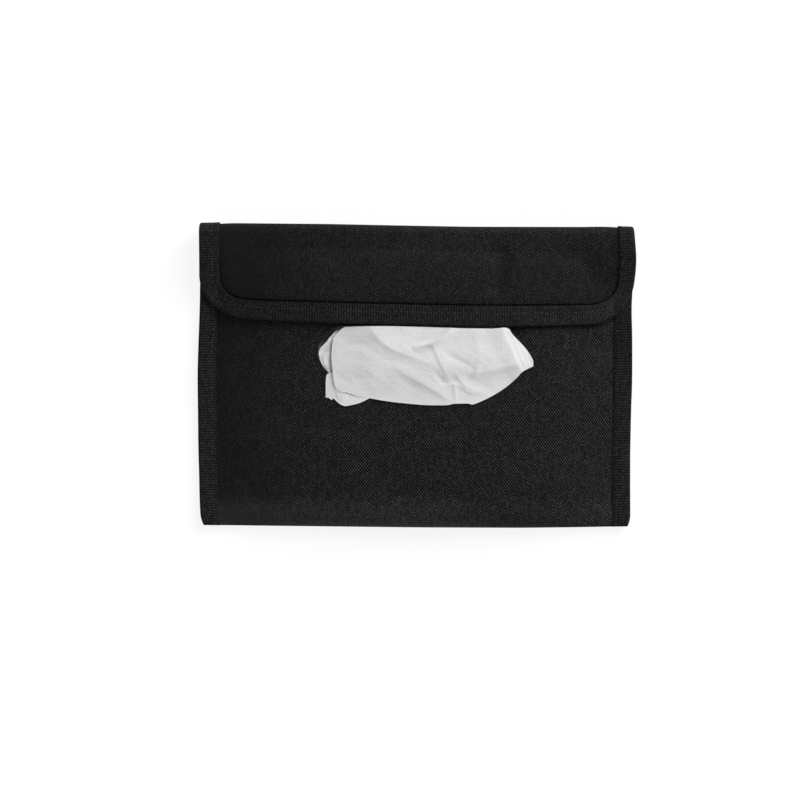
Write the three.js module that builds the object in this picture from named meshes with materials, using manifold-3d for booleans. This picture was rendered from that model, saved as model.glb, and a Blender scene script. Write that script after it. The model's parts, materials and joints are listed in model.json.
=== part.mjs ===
// A car tissue holder: a flat sewn pouch of heavy woven cloth that lies on its back.
// A flap with a taped edge folds over the front. Tissues come out of a slot just below the flap.
// Two elastic bands on the back slip over a sun visor or a headrest.
// X runs across the pouch, Y up to the top fold and Z out of the front. All lengths are millimetres.
import * as THREE from 'three';
import { mergeVertices } from 'three/addons/utils/BufferGeometryUtils.js';
import Module from 'manifold-3d';

const wasm = await Module();
wasm.setup();

// Overall sizes of the pouch
const pouchWidth = 240;
const pouchHeight = 168;
const loftHeight = 15; // how far the tissues lift the middle of the front off the back

// Cloth, tape and how closely the layers lie
const clothThickness = 0.8;
const tapeThickness = 0.6;
const layerGap = 0.3;
const sideTapeWidth = 10;
const flapTapeWidth = 11;
const mouthTapeWidth = 8;

// Front panel
const mouthInset = 15; // from the top fold down to the front panel's upper edge
const mouthTapeEase = 9; // the mouth's tape stops this far short of the seams, where the layers close up
const mouthSlopeLength = 30; // the front panel slopes down towards its upper edge over this length
const shoulderHeight = 34; // the front rounds over into the bottom fold below this height
const seamEase = 1; // flat cloth beside the side tapes

// Flap
const flapDrop = 56.5; // from the top fold to the flap's lower edge
const flapCornerRadius = 25;
const foldRadius = 4.5; // middle of the cloth, round the hinge line
const foldStartAngle = -75; // degrees, from straight out past the top fold
const foldEndAngle = 90;
const foldBlend = 16; // the flap settles from the fold onto the front over this length
const sideBlend = 24; // the flap rises onto the side tapes over this length

// Tissue slot
const slotLength = 110;
const slotHeight = 30;
const facingWidth = 9;
const cutOverrun = 20; // the slot's cutter runs this far past the cloth on both sides

// Hook and loop patches that keep the flap shut
const patchLength = 50;
const patchWidth = 15;
const patchThickness = 0.8;
const patchSideInset = 35; // from the pouch's side to the outer end of a patch
const patchInset = 15.5; // from the flap's lower edge up to the patches

// Elastic bands on the back
const bandWidth = 25;
const bandThickness = 1.2;
const bandSideInset = 47.5; // from the pouch's side to the outer edge of a band
const bandEndInset = 12;

// Sewing thread
const threadWidth = 0.5;
const threadHeight = 0.3;
const threadInset = 2; // from a tape's inner edge to its row of stitches
const tackLength = 12;
const tackInset = 3;

// Tissues
const stackSideRoom = 30; // from the pouch's side to the end of the stack
const stackFootRoom = 29; // from the bottom fold
const stackMouthRoom = 14; // from the front panel's upper edge
const stackHeadroom = 4.5; // free room between the stack and the front panel
const tissueThickness = 1.2; // a few crumpled plies
const tissueLap = 43.5; // from the flap's edge down to the tissue's free edge
const crestLift = 3; // how far the drawn tissue arches over the slot
const creaseHeight = 2; // the tallest fold in the drawn tissue
const creaseWidth = 7; // from a fold's line to where the tissue is smooth again
const neckDepth = 2; // the drawn tissue reaches this far below the front panel
const neckClearance = 1.6; // from the slot's upper edge to the drawn tissue's neck

// Heights of the flat layers, from the bands upwards
const backBottom = bandThickness + layerGap;
const backTop = backBottom + clothThickness;
const seamLevel = backTop + layerGap;
const sideTapeTop = seamLevel + clothThickness + layerGap + tapeThickness;

// Edges in the plane
const halfWidth = pouchWidth / 2;
const topEdge = pouchHeight / 2;
const bottomEdge = -pouchHeight / 2;
const tapeInset = tapeThickness + layerGap; // a tape's fold lies this far outside its cloth's edge
const clothHalf = halfWidth - tapeInset;
const seamHalf = halfWidth - sideTapeWidth - seamEase;
const mouthEdge = topEdge - mouthInset;
const shoulderEdge = bottomEdge + shoulderHeight;
const flapEdge = topEdge - flapDrop;
const slotTop = flapEdge;
const slotCentre = slotTop - slotHeight / 2;
const slotBottom = slotTop - slotHeight;
const patchBottom = flapEdge + patchInset;
const patchPlace = halfWidth - patchSideInset - patchLength / 2;
const bandPlace = halfWidth - bandSideInset - bandWidth / 2;

// The flap's hinge line runs through the middle of the fold
const flapTapeHalf = clothThickness / 2 + layerGap + tapeThickness;
const foldReach = foldRadius + flapTapeHalf;
const hingeY = topEdge - foldReach;
const hingeZ = backTop + layerGap + foldReach;
const foldStart = THREE.MathUtils.degToRad(foldStartAngle);
const foldEnd = THREE.MathUtils.degToRad(foldEndAngle);
const foldLength = foldRadius * (foldEnd - foldStart);
const flapLength = foldLength + hingeY - flapEdge;

// The pouch is a soft pillow: these shares shape it
const sidePowerShare = 6;
const sideEaseShare = 2;
const mouthDropShare = 0.5;
const shoulderPowerShare = 2.4;

const smooth = (from, to, value) => THREE.MathUtils.smoothstep(value, from, to);
const steps = (from, to, count) =>
  Array.from({ length: count + 1 }, (_, i) => from + ((to - from) * i) / count);

// Columns of points across the cloth: closer together towards the seams, with one on each seam
const columnPowerShare = 1.6;
const seamColumns = steps(0, 1, 12).map((share) => seamHalf * (1 - (1 - share) ** columnPowerShare));
const mirrored = (places) => [...places.toReversed().map((x) => -x), ...places.slice(1)];
const clothColumns = mirrored([...seamColumns, ...steps(seamHalf, clothHalf, 3).slice(1)]);

function sideShare(x) {
  const reach = Math.min(1, Math.abs(x) / seamHalf);
  return (1 - reach ** sidePowerShare) ** sideEaseShare;
}

function endShare(y) {
  if (y < shoulderEdge) {
    const down = Math.min(1, (shoulderEdge - y) / (shoulderEdge - bottomEdge));
    return (1 - down ** shoulderPowerShare) ** (1 / shoulderPowerShare);
  }
  const up = Math.max(0, (y - mouthEdge) / mouthSlopeLength + 1);
  return 1 - mouthDropShare * up ** 2;
}

// Underside and outside of the front panel over a point of the plane
const frontUnder = (x, y) => seamLevel + loftHeight * sideShare(x) * endShare(y);
const frontOuter = (x, y) => frontUnder(x, y) + clothThickness;

// The flap lies on its own tape, on the patches and on the side tapes, and rises to the fold
function flapMiddle(x, y) {
  const overTape = tapeThickness + 2 * layerGap;
  const overPatches = 2 * Math.max(patchThickness, tapeThickness) + 3 * layerGap;
  const sunkUp = 1 - smooth(flapEdge, patchBottom, y);
  const sunkOut = 1 - smooth(seamHalf - sideBlend, seamHalf, Math.abs(x));
  const lift = overPatches - (overPatches - overTape) * sunkUp * sunkOut;
  const laid = frontOuter(x, Math.min(y, mouthEdge)) + lift + clothThickness / 2;
  const fold = hingeZ + foldRadius;
  return laid + (fold - laid) * smooth(hingeY - foldBlend, hingeY, y);
}

// A closed solid from two grids of points, its outside and its inside, with a rim that joins them.
// Where the last row meets the first again, the solid is a ring.
function sheetSolid(outside, inside, isRing = false) {
  const rows = outside.length;
  const last = outside[0].length - 1;
  const positions = [...outside.flat(), ...inside.flat()].flatMap((p) => [p.x, p.y, p.z]);
  const at = (layer, i, j) => (layer * rows + (i % rows)) * (last + 1) + j;
  const index = [];
  const quad = (a, b, c, d) => index.push(a, b, c, a, c, d);
  for (let i = 0; i < (isRing ? rows : rows - 1); i += 1) {
    for (let j = 0; j < last; j += 1) {
      quad(at(0, i, j), at(0, i, j + 1), at(0, i + 1, j + 1), at(0, i + 1, j));
      quad(at(1, i, j), at(1, i + 1, j), at(1, i + 1, j + 1), at(1, i, j + 1));
    }
    quad(at(0, i, 0), at(0, i + 1, 0), at(1, i + 1, 0), at(1, i, 0));
    quad(at(0, i + 1, last), at(0, i, last), at(1, i, last), at(1, i + 1, last));
  }
  for (let j = 0; j < (isRing ? 0 : last); j += 1) {
    quad(at(0, 0, j + 1), at(0, 0, j), at(1, 0, j), at(1, 0, j + 1));
    quad(at(0, rows - 1, j), at(0, rows - 1, j + 1), at(1, rows - 1, j + 1), at(1, rows - 1, j));
  }
  return facingOut(geometryOf(positions, index));
}

function geometryOf(positions, index) {
  const geometry = new THREE.BufferGeometry();
  geometry.setAttribute('position', new THREE.Float32BufferAttribute(positions, 3));
  geometry.setIndex(index);
  return geometry;
}

// Turns every face round if the solid's volume comes out negative
function facingOut(geometry) {
  const place = geometry.getAttribute('position');
  const index = geometry.getIndex().array;
  const [a, b, c] = [new THREE.Vector3(), new THREE.Vector3(), new THREE.Vector3()];
  let volume = 0;
  for (let i = 0; i < index.length; i += 3) {
    a.fromBufferAttribute(place, index[i]);
    b.fromBufferAttribute(place, index[i + 1]);
    c.fromBufferAttribute(place, index[i + 2]);
    volume += a.dot(b.cross(c));
  }
  if (volume < 0) {
    const turned = [];
    for (let i = 0; i < index.length; i += 3) turned.push(index[i], index[i + 2], index[i + 1]);
    geometry.setIndex(turned);
  }
  geometry.computeVertexNormals();
  return geometry;
}

// Cuts one geometry out of another
function cut(body, cutter) {
  const solids = [body, cutter].map((geometry) => {
    const bare = geometry.clone();
    bare.deleteAttribute('normal');
    bare.deleteAttribute('uv');
    const merged = mergeVertices(bare);
    return new wasm.Manifold(
      new wasm.Mesh({
        numProp: 3,
        vertProperties: merged.getAttribute('position').array,
        triVerts: new Uint32Array(merged.getIndex().array),
      }),
    );
  });
  const left = solids[0].subtract(solids[1]).getMesh();
  const geometry = geometryOf(Array.from(left.vertProperties), Array.from(left.triVerts));
  geometry.computeVertexNormals();
  return geometry;
}

const holder = new THREE.Group();
const flap = new THREE.Group();
const drawnTissueGroup = new THREE.Group();
holder.add(flap, drawnTissueGroup);

const clothMaterial = new THREE.MeshStandardMaterial({ color: 0x1b1b1b, roughness: 0.85, metalness: 0 });
const tapeMaterial = new THREE.MeshStandardMaterial({ color: 0x202020, roughness: 0.75, metalness: 0 });
const elasticMaterial = new THREE.MeshStandardMaterial({ color: 0x181818, roughness: 0.8, metalness: 0 });
const patchMaterial = new THREE.MeshStandardMaterial({ color: 0x121212, roughness: 0.95, metalness: 0 });
const threadMaterial = new THREE.MeshStandardMaterial({ color: 0x262626, roughness: 0.6, metalness: 0 });
const paperMaterial = new THREE.MeshStandardMaterial({ color: 0xe6e6e6, roughness: 0.95, metalness: 0 });

function addPiece(group, name, geometry, material) {
  const mesh = new THREE.Mesh(geometry, material);
  mesh.name = name;
  group.add(mesh);
  return mesh;
}

// Back panel: flat cloth from the bottom fold to the top fold
const backEnd = hingeY + foldRadius / 2;
const backLength = backEnd - bottomEdge - clothThickness / 2;
const backPanel = addPiece(
  holder,
  'back_panel',
  new THREE.BoxGeometry(2 * clothHalf, backLength, clothThickness),
  clothMaterial,
);
backPanel.position.set(0, backEnd - backLength / 2, backBottom + clothThickness / 2);

// Front panel: a pillow that rounds down to the bottom fold, with the tissue slot cut through it
const frontMiddleEdge = bottomEdge + clothThickness / 2;
const frontRows = [
  ...steps(mouthEdge, mouthEdge - mouthSlopeLength, 6).map((y) => ({ y, turn: 0 })),
  ...steps(mouthEdge - mouthSlopeLength, shoulderEdge, 5)
    .slice(1)
    .map((y) => ({ y, turn: 0 })),
  ...steps(0, Math.PI / 2, 8)
    .slice(1)
    .map((turn) => ({ y: 0, turn })),
];

function frontPoint(x, row, offset) {
  if (row.turn === 0) {
    return new THREE.Vector3(x, row.y, frontUnder(x, row.y) + clothThickness / 2 + offset);
  }
  const low = seamLevel + clothThickness / 2;
  const crown = frontUnder(x, shoulderEdge) + clothThickness / 2;
  const power = 2 / shoulderPowerShare;
  const y = shoulderEdge - (shoulderEdge - frontMiddleEdge) * Math.sin(row.turn) ** power;
  const z = low + (crown - low) * Math.abs(Math.cos(row.turn)) ** power;
  return new THREE.Vector3(x, y - offset * Math.sin(row.turn), z + offset * Math.cos(row.turn));
}

function frontGrid(offset) {
  return frontRows.map((row) => clothColumns.map((x) => frontPoint(x, row, offset)));
}

const slotRadius = slotHeight / 2;
const slotStraight = slotLength / 2 - slotRadius; // half the straight length between the round ends

function slotOutline() {
  const shape = new THREE.Shape();
  shape.absarc(slotStraight, slotCentre, slotRadius, -Math.PI / 2, Math.PI / 2);
  shape.absarc(-slotStraight, slotCentre, slotRadius, Math.PI / 2, (3 * Math.PI) / 2);
  shape.closePath();
  return shape;
}

const slotCutter = new THREE.ExtrudeGeometry(slotOutline(), {
  depth: loftHeight + 2 * cutOverrun,
  bevelEnabled: false,
  curveSegments: 10,
});
slotCutter.translate(0, 0, seamLevel - cutOverrun);
const wholeFront = sheetSolid(frontGrid(clothThickness / 2), frontGrid(-clothThickness / 2));
addPiece(holder, 'front_panel', cut(wholeFront, slotCutter), clothMaterial);

// Slot facing: a thin ring sewn behind the slot's edge
function facingGrid(level) {
  const [quarter, half] = [Math.PI / 2, Math.PI];
  const around = [
    ...steps(-slotStraight, slotStraight, 8).map((x) => ({ x, turn: -quarter })),
    ...steps(-quarter, quarter, 8).slice(1, -1).map((turn) => ({ x: slotStraight, turn })),
    ...steps(slotStraight, -slotStraight, 8).map((x) => ({ x, turn: quarter })),
    ...steps(quarter, quarter + half, 8).slice(1, -1).map((turn) => ({ x: -slotStraight, turn })),
  ];
  return around.map(({ x, turn }) =>
    [0, facingWidth].map((outset) => {
      const px = x + (slotRadius + outset) * Math.cos(turn);
      const py = slotCentre + (slotRadius + outset) * Math.sin(turn);
      return new THREE.Vector3(px, py, frontUnder(px, py) - level);
    }),
  );
}

addPiece(
  holder,
  'slot_facing',
  sheetSolid(facingGrid(layerGap), facingGrid(layerGap + tapeThickness), true),
  clothMaterial,
);

// Side tapes: folded round the edges of both panels, up to where the flap turns
const sideTapeEnd = hingeY - foldReach - layerGap;
for (const [side, name] of [[-1, 'left_side_tape'], [1, 'right_side_tape']]) {
  const low = backBottom - tapeInset;
  const channel = new THREE.Shape();
  channel.moveTo(halfWidth, low);
  channel.lineTo(halfWidth, sideTapeTop);
  channel.lineTo(halfWidth - sideTapeWidth, sideTapeTop);
  channel.lineTo(halfWidth - sideTapeWidth, sideTapeTop - tapeThickness);
  channel.lineTo(halfWidth - tapeThickness, sideTapeTop - tapeThickness);
  channel.lineTo(halfWidth - tapeThickness, low + tapeThickness);
  channel.lineTo(halfWidth - sideTapeWidth, low + tapeThickness);
  channel.lineTo(halfWidth - sideTapeWidth, low);
  channel.closePath();
  const length = sideTapeEnd - bottomEdge;
  const geometry = new THREE.ExtrudeGeometry(channel, { depth: length, bevelEnabled: false });
  geometry.rotateX(Math.PI / 2);
  const tape = addPiece(holder, name, geometry, tapeMaterial);
  tape.position.y = sideTapeEnd;
  if (side < 0) {
    geometry.rotateY(Math.PI);
    geometry.translate(0, 0, low + sideTapeTop);
  }
}

// A tape's section: a leg under the cloth, the fold outside its edge, and a leg on top
function tapeSection(width, half) {
  const legs = steps(width, 0, 3).slice(0, -1);
  const inner = half - tapeThickness;
  return {
    outside: [
      ...legs.map((w) => [w, -half]),
      [0, -half],
      [0, half],
      ...legs.toReversed().map((w) => [w, half]),
    ],
    inside: [
      ...legs.map((w) => [w, -inner]),
      [tapeThickness, -inner],
      [tapeThickness, inner],
      ...legs.toReversed().map((w) => [w, inner]),
    ],
  };
}

// Mouth tape: folded over the front panel's upper edge, between the side tapes
const mouthSection = tapeSection(mouthTapeWidth, flapTapeHalf);
const mouthTapeEdge = mouthEdge + tapeInset;

function mouthPoint(x, [w, t]) {
  const y = mouthTapeEdge - w;
  return new THREE.Vector3(x, y, frontUnder(x, Math.min(y, mouthEdge)) + clothThickness / 2 + t);
}

const mouthTapeEnd = seamHalf - mouthTapeEase;
const mouthColumns = mirrored([...seamColumns.filter((x) => x < mouthTapeEnd - seamEase), mouthTapeEnd]);

function mouthGrid(section) {
  return mouthColumns.map((x) => section.map((point) => mouthPoint(x, point)));
}

addPiece(
  holder,
  'mouth_tape',
  sheetSolid(mouthGrid(mouthSection.outside), mouthGrid(mouthSection.inside)),
  tapeMaterial,
);

// The flap's own surface: s runs from the fold's lower end to the flap's edge, t stands off the cloth
function flapPoint(x, s, t) {
  if (s < foldLength) {
    const turn = foldStart + s / foldRadius;
    const radius = foldRadius + t;
    return new THREE.Vector3(x, hingeY + radius * Math.cos(turn), hingeZ + radius * Math.sin(turn));
  }
  const y = hingeY - (s - foldLength);
  return new THREE.Vector3(x, y, flapMiddle(x, y) + t);
}

// Half the flap's width at a distance from its lower edge, for an outline set in by an inset
function flapHalfWidth(fromEdge, inset) {
  const radius = flapCornerRadius - inset;
  const into = Math.max(0, flapCornerRadius - fromEdge);
  return halfWidth - flapCornerRadius + Math.sqrt(Math.max(0, radius ** 2 - into ** 2));
}

// Rows of the flap's cloth, closer together where the fold and the corners turn
const cornerTurns = steps(0, Math.PI / 2, 6);
const flapRows = [
  ...steps(0, foldLength, 7),
  ...steps(foldLength, foldLength + foldBlend, 5).slice(1),
  ...steps(foldLength + foldBlend, flapLength - flapCornerRadius, 3).slice(1),
  ...cornerTurns
    .slice(1)
    .map((turn) => flapLength - flapCornerRadius + (flapCornerRadius - tapeInset) * Math.sin(turn)),
];

// Where the rounded corners narrow the flap, only the columns near its ends draw together
const freeHalf = halfWidth - flapCornerRadius - flapTapeWidth;

function flapColumns(half) {
  return clothColumns.map((x) => {
    const beyond = Math.max(0, Math.abs(x) - freeHalf);
    const drawnIn = (beyond * (half - freeHalf)) / (clothHalf - freeHalf);
    return Math.sign(x) * (Math.min(Math.abs(x), freeHalf) + drawnIn);
  });
}

function flapGrid(t) {
  return flapRows.map((s) => {
    const half = flapHalfWidth(flapLength - s, tapeInset);
    return flapColumns(half).map((x) => flapPoint(x, s, t));
  });
}

addPiece(
  flap,
  'flap_panel',
  sheetSolid(flapGrid(clothThickness / 2), flapGrid(-clothThickness / 2)),
  clothMaterial,
);

// The path round the flap: down the left side, along the lower edge and up the right side
function flapPath(start) {
  const straight = flapRows.filter((s) => s >= start && s <= flapLength - flapCornerRadius);
  const left = straight.map((s) => ({ x: -halfWidth, s, inX: 1, inS: 0 }));
  const corner = cornerTurns.slice(1, -1).map((turn) => ({
    x: -halfWidth + flapCornerRadius * (1 - Math.cos(turn)),
    s: flapLength - flapCornerRadius * (1 - Math.sin(turn)),
    inX: Math.cos(turn),
    inS: -Math.sin(turn),
  }));
  const lower = flapColumns(halfWidth - flapCornerRadius).map((x) => ({ x, s: flapLength, inX: 0, inS: -1 }));
  const right = [...left, ...corner].toReversed().map((p) => ({ ...p, x: -p.x, inX: -p.inX }));
  return [...left, ...corner, ...lower, ...right];
}

function flapEdgeGrid(section, start = 0) {
  return flapPath(start).map((p) => section.map(([w, t]) => flapPoint(p.x + p.inX * w, p.s + p.inS * w, t)));
}

const flapSection = tapeSection(flapTapeWidth, flapTapeHalf);
addPiece(
  flap,
  'flap_tape',
  sheetSolid(flapEdgeGrid(flapSection.outside), flapEdgeGrid(flapSection.inside)),
  tapeMaterial,
);

// The row of stitches that holds the flap's tape, as one thin thread on top of it
function threadSection(inset, base) {
  const [near, far] = [inset - threadWidth / 2, inset + threadWidth / 2];
  return [
    [[near, base + threadHeight], [far, base + threadHeight]],
    [[near, base], [far, base]],
  ];
}

const threadStart = foldLength + threadInset;
const [threadTop, threadFoot] = threadSection(flapTapeWidth - threadInset, flapTapeHalf + layerGap);
addPiece(
  flap,
  'flap_tape_thread',
  sheetSolid(flapEdgeGrid(threadTop, threadStart), flapEdgeGrid(threadFoot, threadStart)),
  threadMaterial,
);

// The same on the side tapes, from the flap's edge down to the bottom fold
const sideThreadLength = flapEdge - bottomEdge - 2 * threadInset;
for (const [side, name] of [[-1, 'left_side_thread'], [1, 'right_side_thread']]) {
  const thread = addPiece(
    holder,
    name,
    new THREE.BoxGeometry(threadWidth, sideThreadLength, threadHeight),
    threadMaterial,
  );
  thread.position.set(
    side * (halfWidth - sideTapeWidth + threadInset),
    bottomEdge + threadInset + sideThreadLength / 2,
    sideTapeTop + layerGap + threadHeight / 2,
  );
}

// Hook patches under the flap and loop patches on the front panel, one pair on each side
function patchGrid(centre, level) {
  return steps(patchBottom, patchBottom + patchWidth, 3).map((y) =>
    steps(-patchLength / 2, patchLength / 2, 7).map((x) => level(centre + x, y)),
  );
}

for (const [side, word] of [[-1, 'left'], [1, 'right']]) {
  const centre = side * patchPlace;
  const hookTop = clothThickness / 2 + layerGap;
  const hook = (drop) => (x, y) => new THREE.Vector3(x, y, flapMiddle(x, y) - drop);
  const loop = (rise) => (x, y) => new THREE.Vector3(x, y, frontOuter(x, y) + rise);
  addPiece(
    flap,
    `${word}_hook_patch`,
    sheetSolid(patchGrid(centre, hook(hookTop)), patchGrid(centre, hook(hookTop + patchThickness))),
    patchMaterial,
  );
  addPiece(
    holder,
    `${word}_loop_patch`,
    sheetSolid(patchGrid(centre, loop(layerGap + patchThickness)), patchGrid(centre, loop(layerGap))),
    patchMaterial,
  );
}

// Elastic bands under the back panel, sewn down at both ends
const bandLength = backLength - 2 * bandEndInset;
for (const [side, word] of [[-1, 'left'], [1, 'right']]) {
  const band = addPiece(
    holder,
    `${word}_elastic_band`,
    new THREE.BoxGeometry(bandWidth, bandLength, bandThickness),
    elasticMaterial,
  );
  band.position.set(side * bandPlace, backPanel.position.y, bandThickness / 2);
}

// Each band end is held by a box of stitches that shows inside the pouch
function tackFrame() {
  const outline = new THREE.Shape();
  const hole = new THREE.Path();
  const corners = [[-1, -1], [1, -1], [1, 1], [-1, 1]];
  const wide = bandWidth / 2 - tackInset;
  const tall = tackLength / 2;
  outline.setFromPoints(corners.map(([x, y]) => new THREE.Vector2(x * wide, y * tall)));
  hole.setFromPoints(
    corners.map(([x, y]) => new THREE.Vector2(x * (wide - threadWidth), y * (tall - threadWidth))),
  );
  outline.holes.push(hole);
  return new THREE.ExtrudeGeometry(outline, { depth: threadHeight, bevelEnabled: false });
}

for (const [side, word] of [[-1, 'left'], [1, 'right']]) {
  for (const [end, place] of [[-1, 'lower'], [1, 'upper']]) {
    const tack = addPiece(holder, `${word}_band_${place}_tack`, tackFrame(), threadMaterial);
    tack.position.set(
      side * bandPlace,
      backPanel.position.y + end * (bandLength / 2 - tackInset - tackLength / 2),
      backTop + layerGap,
    );
  }
}

// The stack of folded tissues inside the pouch, rounded like the front above it
const stackBase = backTop + 2 * layerGap + threadHeight;

const stackHalf = halfWidth - stackSideRoom;

function stackGrid(level) {
  return steps(bottomEdge + stackFootRoom, mouthEdge - stackMouthRoom, 8).map((y) =>
    steps(-stackHalf, stackHalf, 16).map((x) => new THREE.Vector3(x, y, level(x, y))),
  );
}

const stackTop = (x, y) => frontUnder(x, y) - stackHeadroom;
addPiece(
  holder,
  'tissue_stack',
  sheetSolid(stackGrid(stackTop), stackGrid(() => stackBase)),
  paperMaterial,
);

// The next tissue waits in the slot, a fold of it raised from the stack
const nextReachShares = [-0.49, 0.42];
const nextDepthShares = [0.06, 0.8];

function nextGrid(level) {
  return steps(...nextDepthShares.map((share) => slotBottom + share * slotHeight), 4).map((y) =>
    steps(...nextReachShares.map((share) => share * slotLength), 14).map(
      (x) => new THREE.Vector3(x, y, stackTop(x, y) + level),
    ),
  );
}

addPiece(
  holder,
  'next_tissue',
  sheetSolid(nextGrid(layerGap + tissueThickness), nextGrid(layerGap)),
  paperMaterial,
);

// The drawn tissue rises through the slot beside the flap's edge and hangs over the slot's lower edge.
// Its ends at some distances down the lap, as shares of the lap and of half the slot's length
const tissueEndShares = [
  { down: 0, left: -0.73, right: 0.88 },
  { down: 0.12, left: -0.81, right: 1.04 },
  { down: 0.25, left: -0.86, right: 1.12 },
  { down: 0.5, left: -0.87, right: 1.17 },
  { down: 0.6, left: -0.92, right: 1.05 },
  { down: 0.8, left: -0.91, right: 0.83 },
  { down: 0.9, left: -0.86, right: 0.72 },
  { down: 1, left: -0.72, right: 0.58 },
];
const neckEndShares = { left: -0.7, right: 0.7 };

// Creases, as straight lines between two points given by the same two shares, with their height
const creaseShares = [
  { from: [-0.5, 0.2], to: [0.01, 0.45], height: -1 },
  { from: [-0.23, 0.61], to: [0.26, 0.96], height: -0.7 },
  { from: [0.17, 0.31], to: [0.28, 0.66], height: 0.8 },
  { from: [0.28, 0.66], to: [0.59, 0.56], height: 0.8 },
  { from: [-0.01, 0.27], to: [0.3, 0.17], height: 0.6 },
  { from: [0.86, 0.05], to: [1.03, 0.55], height: 1 },
  { from: [-0.75, 0.84], to: [-0.4, 0.95], height: 0.7 },
];

function endsAt(down) {
  const reached = tissueEndShares.slice(0, -1).findLastIndex((row) => row.down <= down);
  const [above, below] = tissueEndShares.slice(reached, reached + 2);
  const part = (down - above.down) / (below.down - above.down);
  return {
    left: THREE.MathUtils.lerp(above.left, below.left, part),
    right: THREE.MathUtils.lerp(above.right, below.right, part),
  };
}

function creaseLift(x, y) {
  const place = ([across, down]) =>
    new THREE.Vector3((across * slotLength) / 2, flapEdge - down * tissueLap, 0);
  const point = new THREE.Vector3(x, y, 0);
  const nearest = new THREE.Vector3();
  return creaseShares.reduce((sum, crease) => {
    const line = new THREE.Line3(place(crease.from), place(crease.to));
    line.closestPointToPoint(point, true, nearest);
    const near = 1 - smooth(0, creaseWidth, nearest.distanceTo(point));
    return sum + crease.height * creaseHeight * near;
  }, 0);
}

// How far the tissue stands off the front panel: an arch over the slot that comes to rest below it
function tissueLift(x, y) {
  const arch = crestLift * smooth(flapEdge - tissueLap, slotCentre, y);
  return layerGap + Math.max(0, arch + creaseLift(x, y) * smooth(slotTop, slotTop - neckClearance * 2, y));
}

function tissueRow({ left, right }, y, level) {
  const half = slotLength / 2;
  return steps(left * half, right * half, 30).map((x) => new THREE.Vector3(x, y, level(x, y)));
}

function drawnGrid(inset) {
  const neckY = slotTop - neckClearance - inset;
  const top = tissueThickness - inset;
  const rows = [
    tissueRow(neckEndShares, neckY, (x, y) => frontUnder(x, y) - neckDepth),
    tissueRow(neckEndShares, neckY, (x, y) => frontOuter(x, y) + layerGap),
    tissueRow(endsAt(0), neckY, (x, y) => frontOuter(x, y) + tissueLift(x, y) + top / 2),
  ];
  for (const down of steps(tissueEndShares[1].down, 1, 13)) {
    const y = flapEdge - down * tissueLap;
    rows.push(tissueRow(endsAt(down), y, (x) => frontOuter(x, y) + tissueLift(x, y) + top));
  }
  return rows;
}

addPiece(
  drawnTissueGroup,
  'drawn_tissue',
  sheetSolid(drawnGrid(0), drawnGrid(tissueThickness)),
  paperMaterial,
);

export default holder;
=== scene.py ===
"""A car tissue holder sewn from black woven cloth, lying on its back with a tissue drawn out."""
import json
import math
import random
from functools import partialmethod

import bmesh
import bpy
import numpy as np
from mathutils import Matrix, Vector


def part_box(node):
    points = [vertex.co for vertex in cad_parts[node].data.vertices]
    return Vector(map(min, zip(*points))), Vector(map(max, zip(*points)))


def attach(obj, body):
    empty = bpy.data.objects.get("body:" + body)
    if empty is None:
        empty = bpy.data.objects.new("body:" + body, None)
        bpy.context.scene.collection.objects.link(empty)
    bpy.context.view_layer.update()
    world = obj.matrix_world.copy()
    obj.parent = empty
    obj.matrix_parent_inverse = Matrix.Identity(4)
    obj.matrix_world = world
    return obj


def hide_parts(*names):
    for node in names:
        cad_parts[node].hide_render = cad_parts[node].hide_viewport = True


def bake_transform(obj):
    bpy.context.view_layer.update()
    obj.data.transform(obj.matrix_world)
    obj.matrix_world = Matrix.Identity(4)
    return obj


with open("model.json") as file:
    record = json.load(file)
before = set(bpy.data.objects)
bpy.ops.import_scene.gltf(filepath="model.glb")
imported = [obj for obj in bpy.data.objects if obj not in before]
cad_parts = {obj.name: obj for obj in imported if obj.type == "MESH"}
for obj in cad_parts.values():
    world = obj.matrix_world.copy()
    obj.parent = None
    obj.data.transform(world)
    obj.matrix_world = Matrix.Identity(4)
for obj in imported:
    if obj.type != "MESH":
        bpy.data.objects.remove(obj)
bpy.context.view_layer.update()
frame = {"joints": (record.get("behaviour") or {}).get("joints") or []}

# The pouch's cloth: heavy black nylon in a plain weave. One strip runs from the mouth down the
# front, round the bottom fold and up the back to the top fold. The slot is cut through its front.
mm = 0.001
layer_gap = 0.3 * mm
warp_pitch = 0.77 * mm
weft_pitch = 0.98 * mm

side_tape_low, side_tape_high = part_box("right_side_tape")
back_low, back_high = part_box("back_panel")
front_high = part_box("front_panel")[1]
facing_low, facing_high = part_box("slot_facing")
hinge = next(joint for joint in frame["joints"] if joint["name"] == "flap_hinge")["pos_m"]
hinge_y, hinge_z = hinge[1], hinge[2]

half_width = side_tape_high.x
bottom_edge = side_tape_low.y
seam_half = side_tape_low.x - 1 * mm
cloth_half = back_high.x
mouth_edge = front_high.y
cloth_thickness = back_high.z - back_low.z
back_middle = (back_low.z + back_high.z) / 2
seam_level = back_high.z + layer_gap
loft = front_high.z - cloth_thickness - seam_level

facing_width = 9 * mm
slot_half = facing_high.x - facing_width
slot_top, slot_bottom = facing_high.y - facing_width, facing_low.y + facing_width
slot_centre = (slot_top + slot_bottom) / 2
slot_radius = (slot_top - slot_bottom) / 2

shoulder_edge = bottom_edge + 34 * mm
shoulder_power = 2.4
side_power = 3.2
mouth_slope = 30 * mm
mouth_drop = 0.5
back_wave = 0.12 * mm

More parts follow.
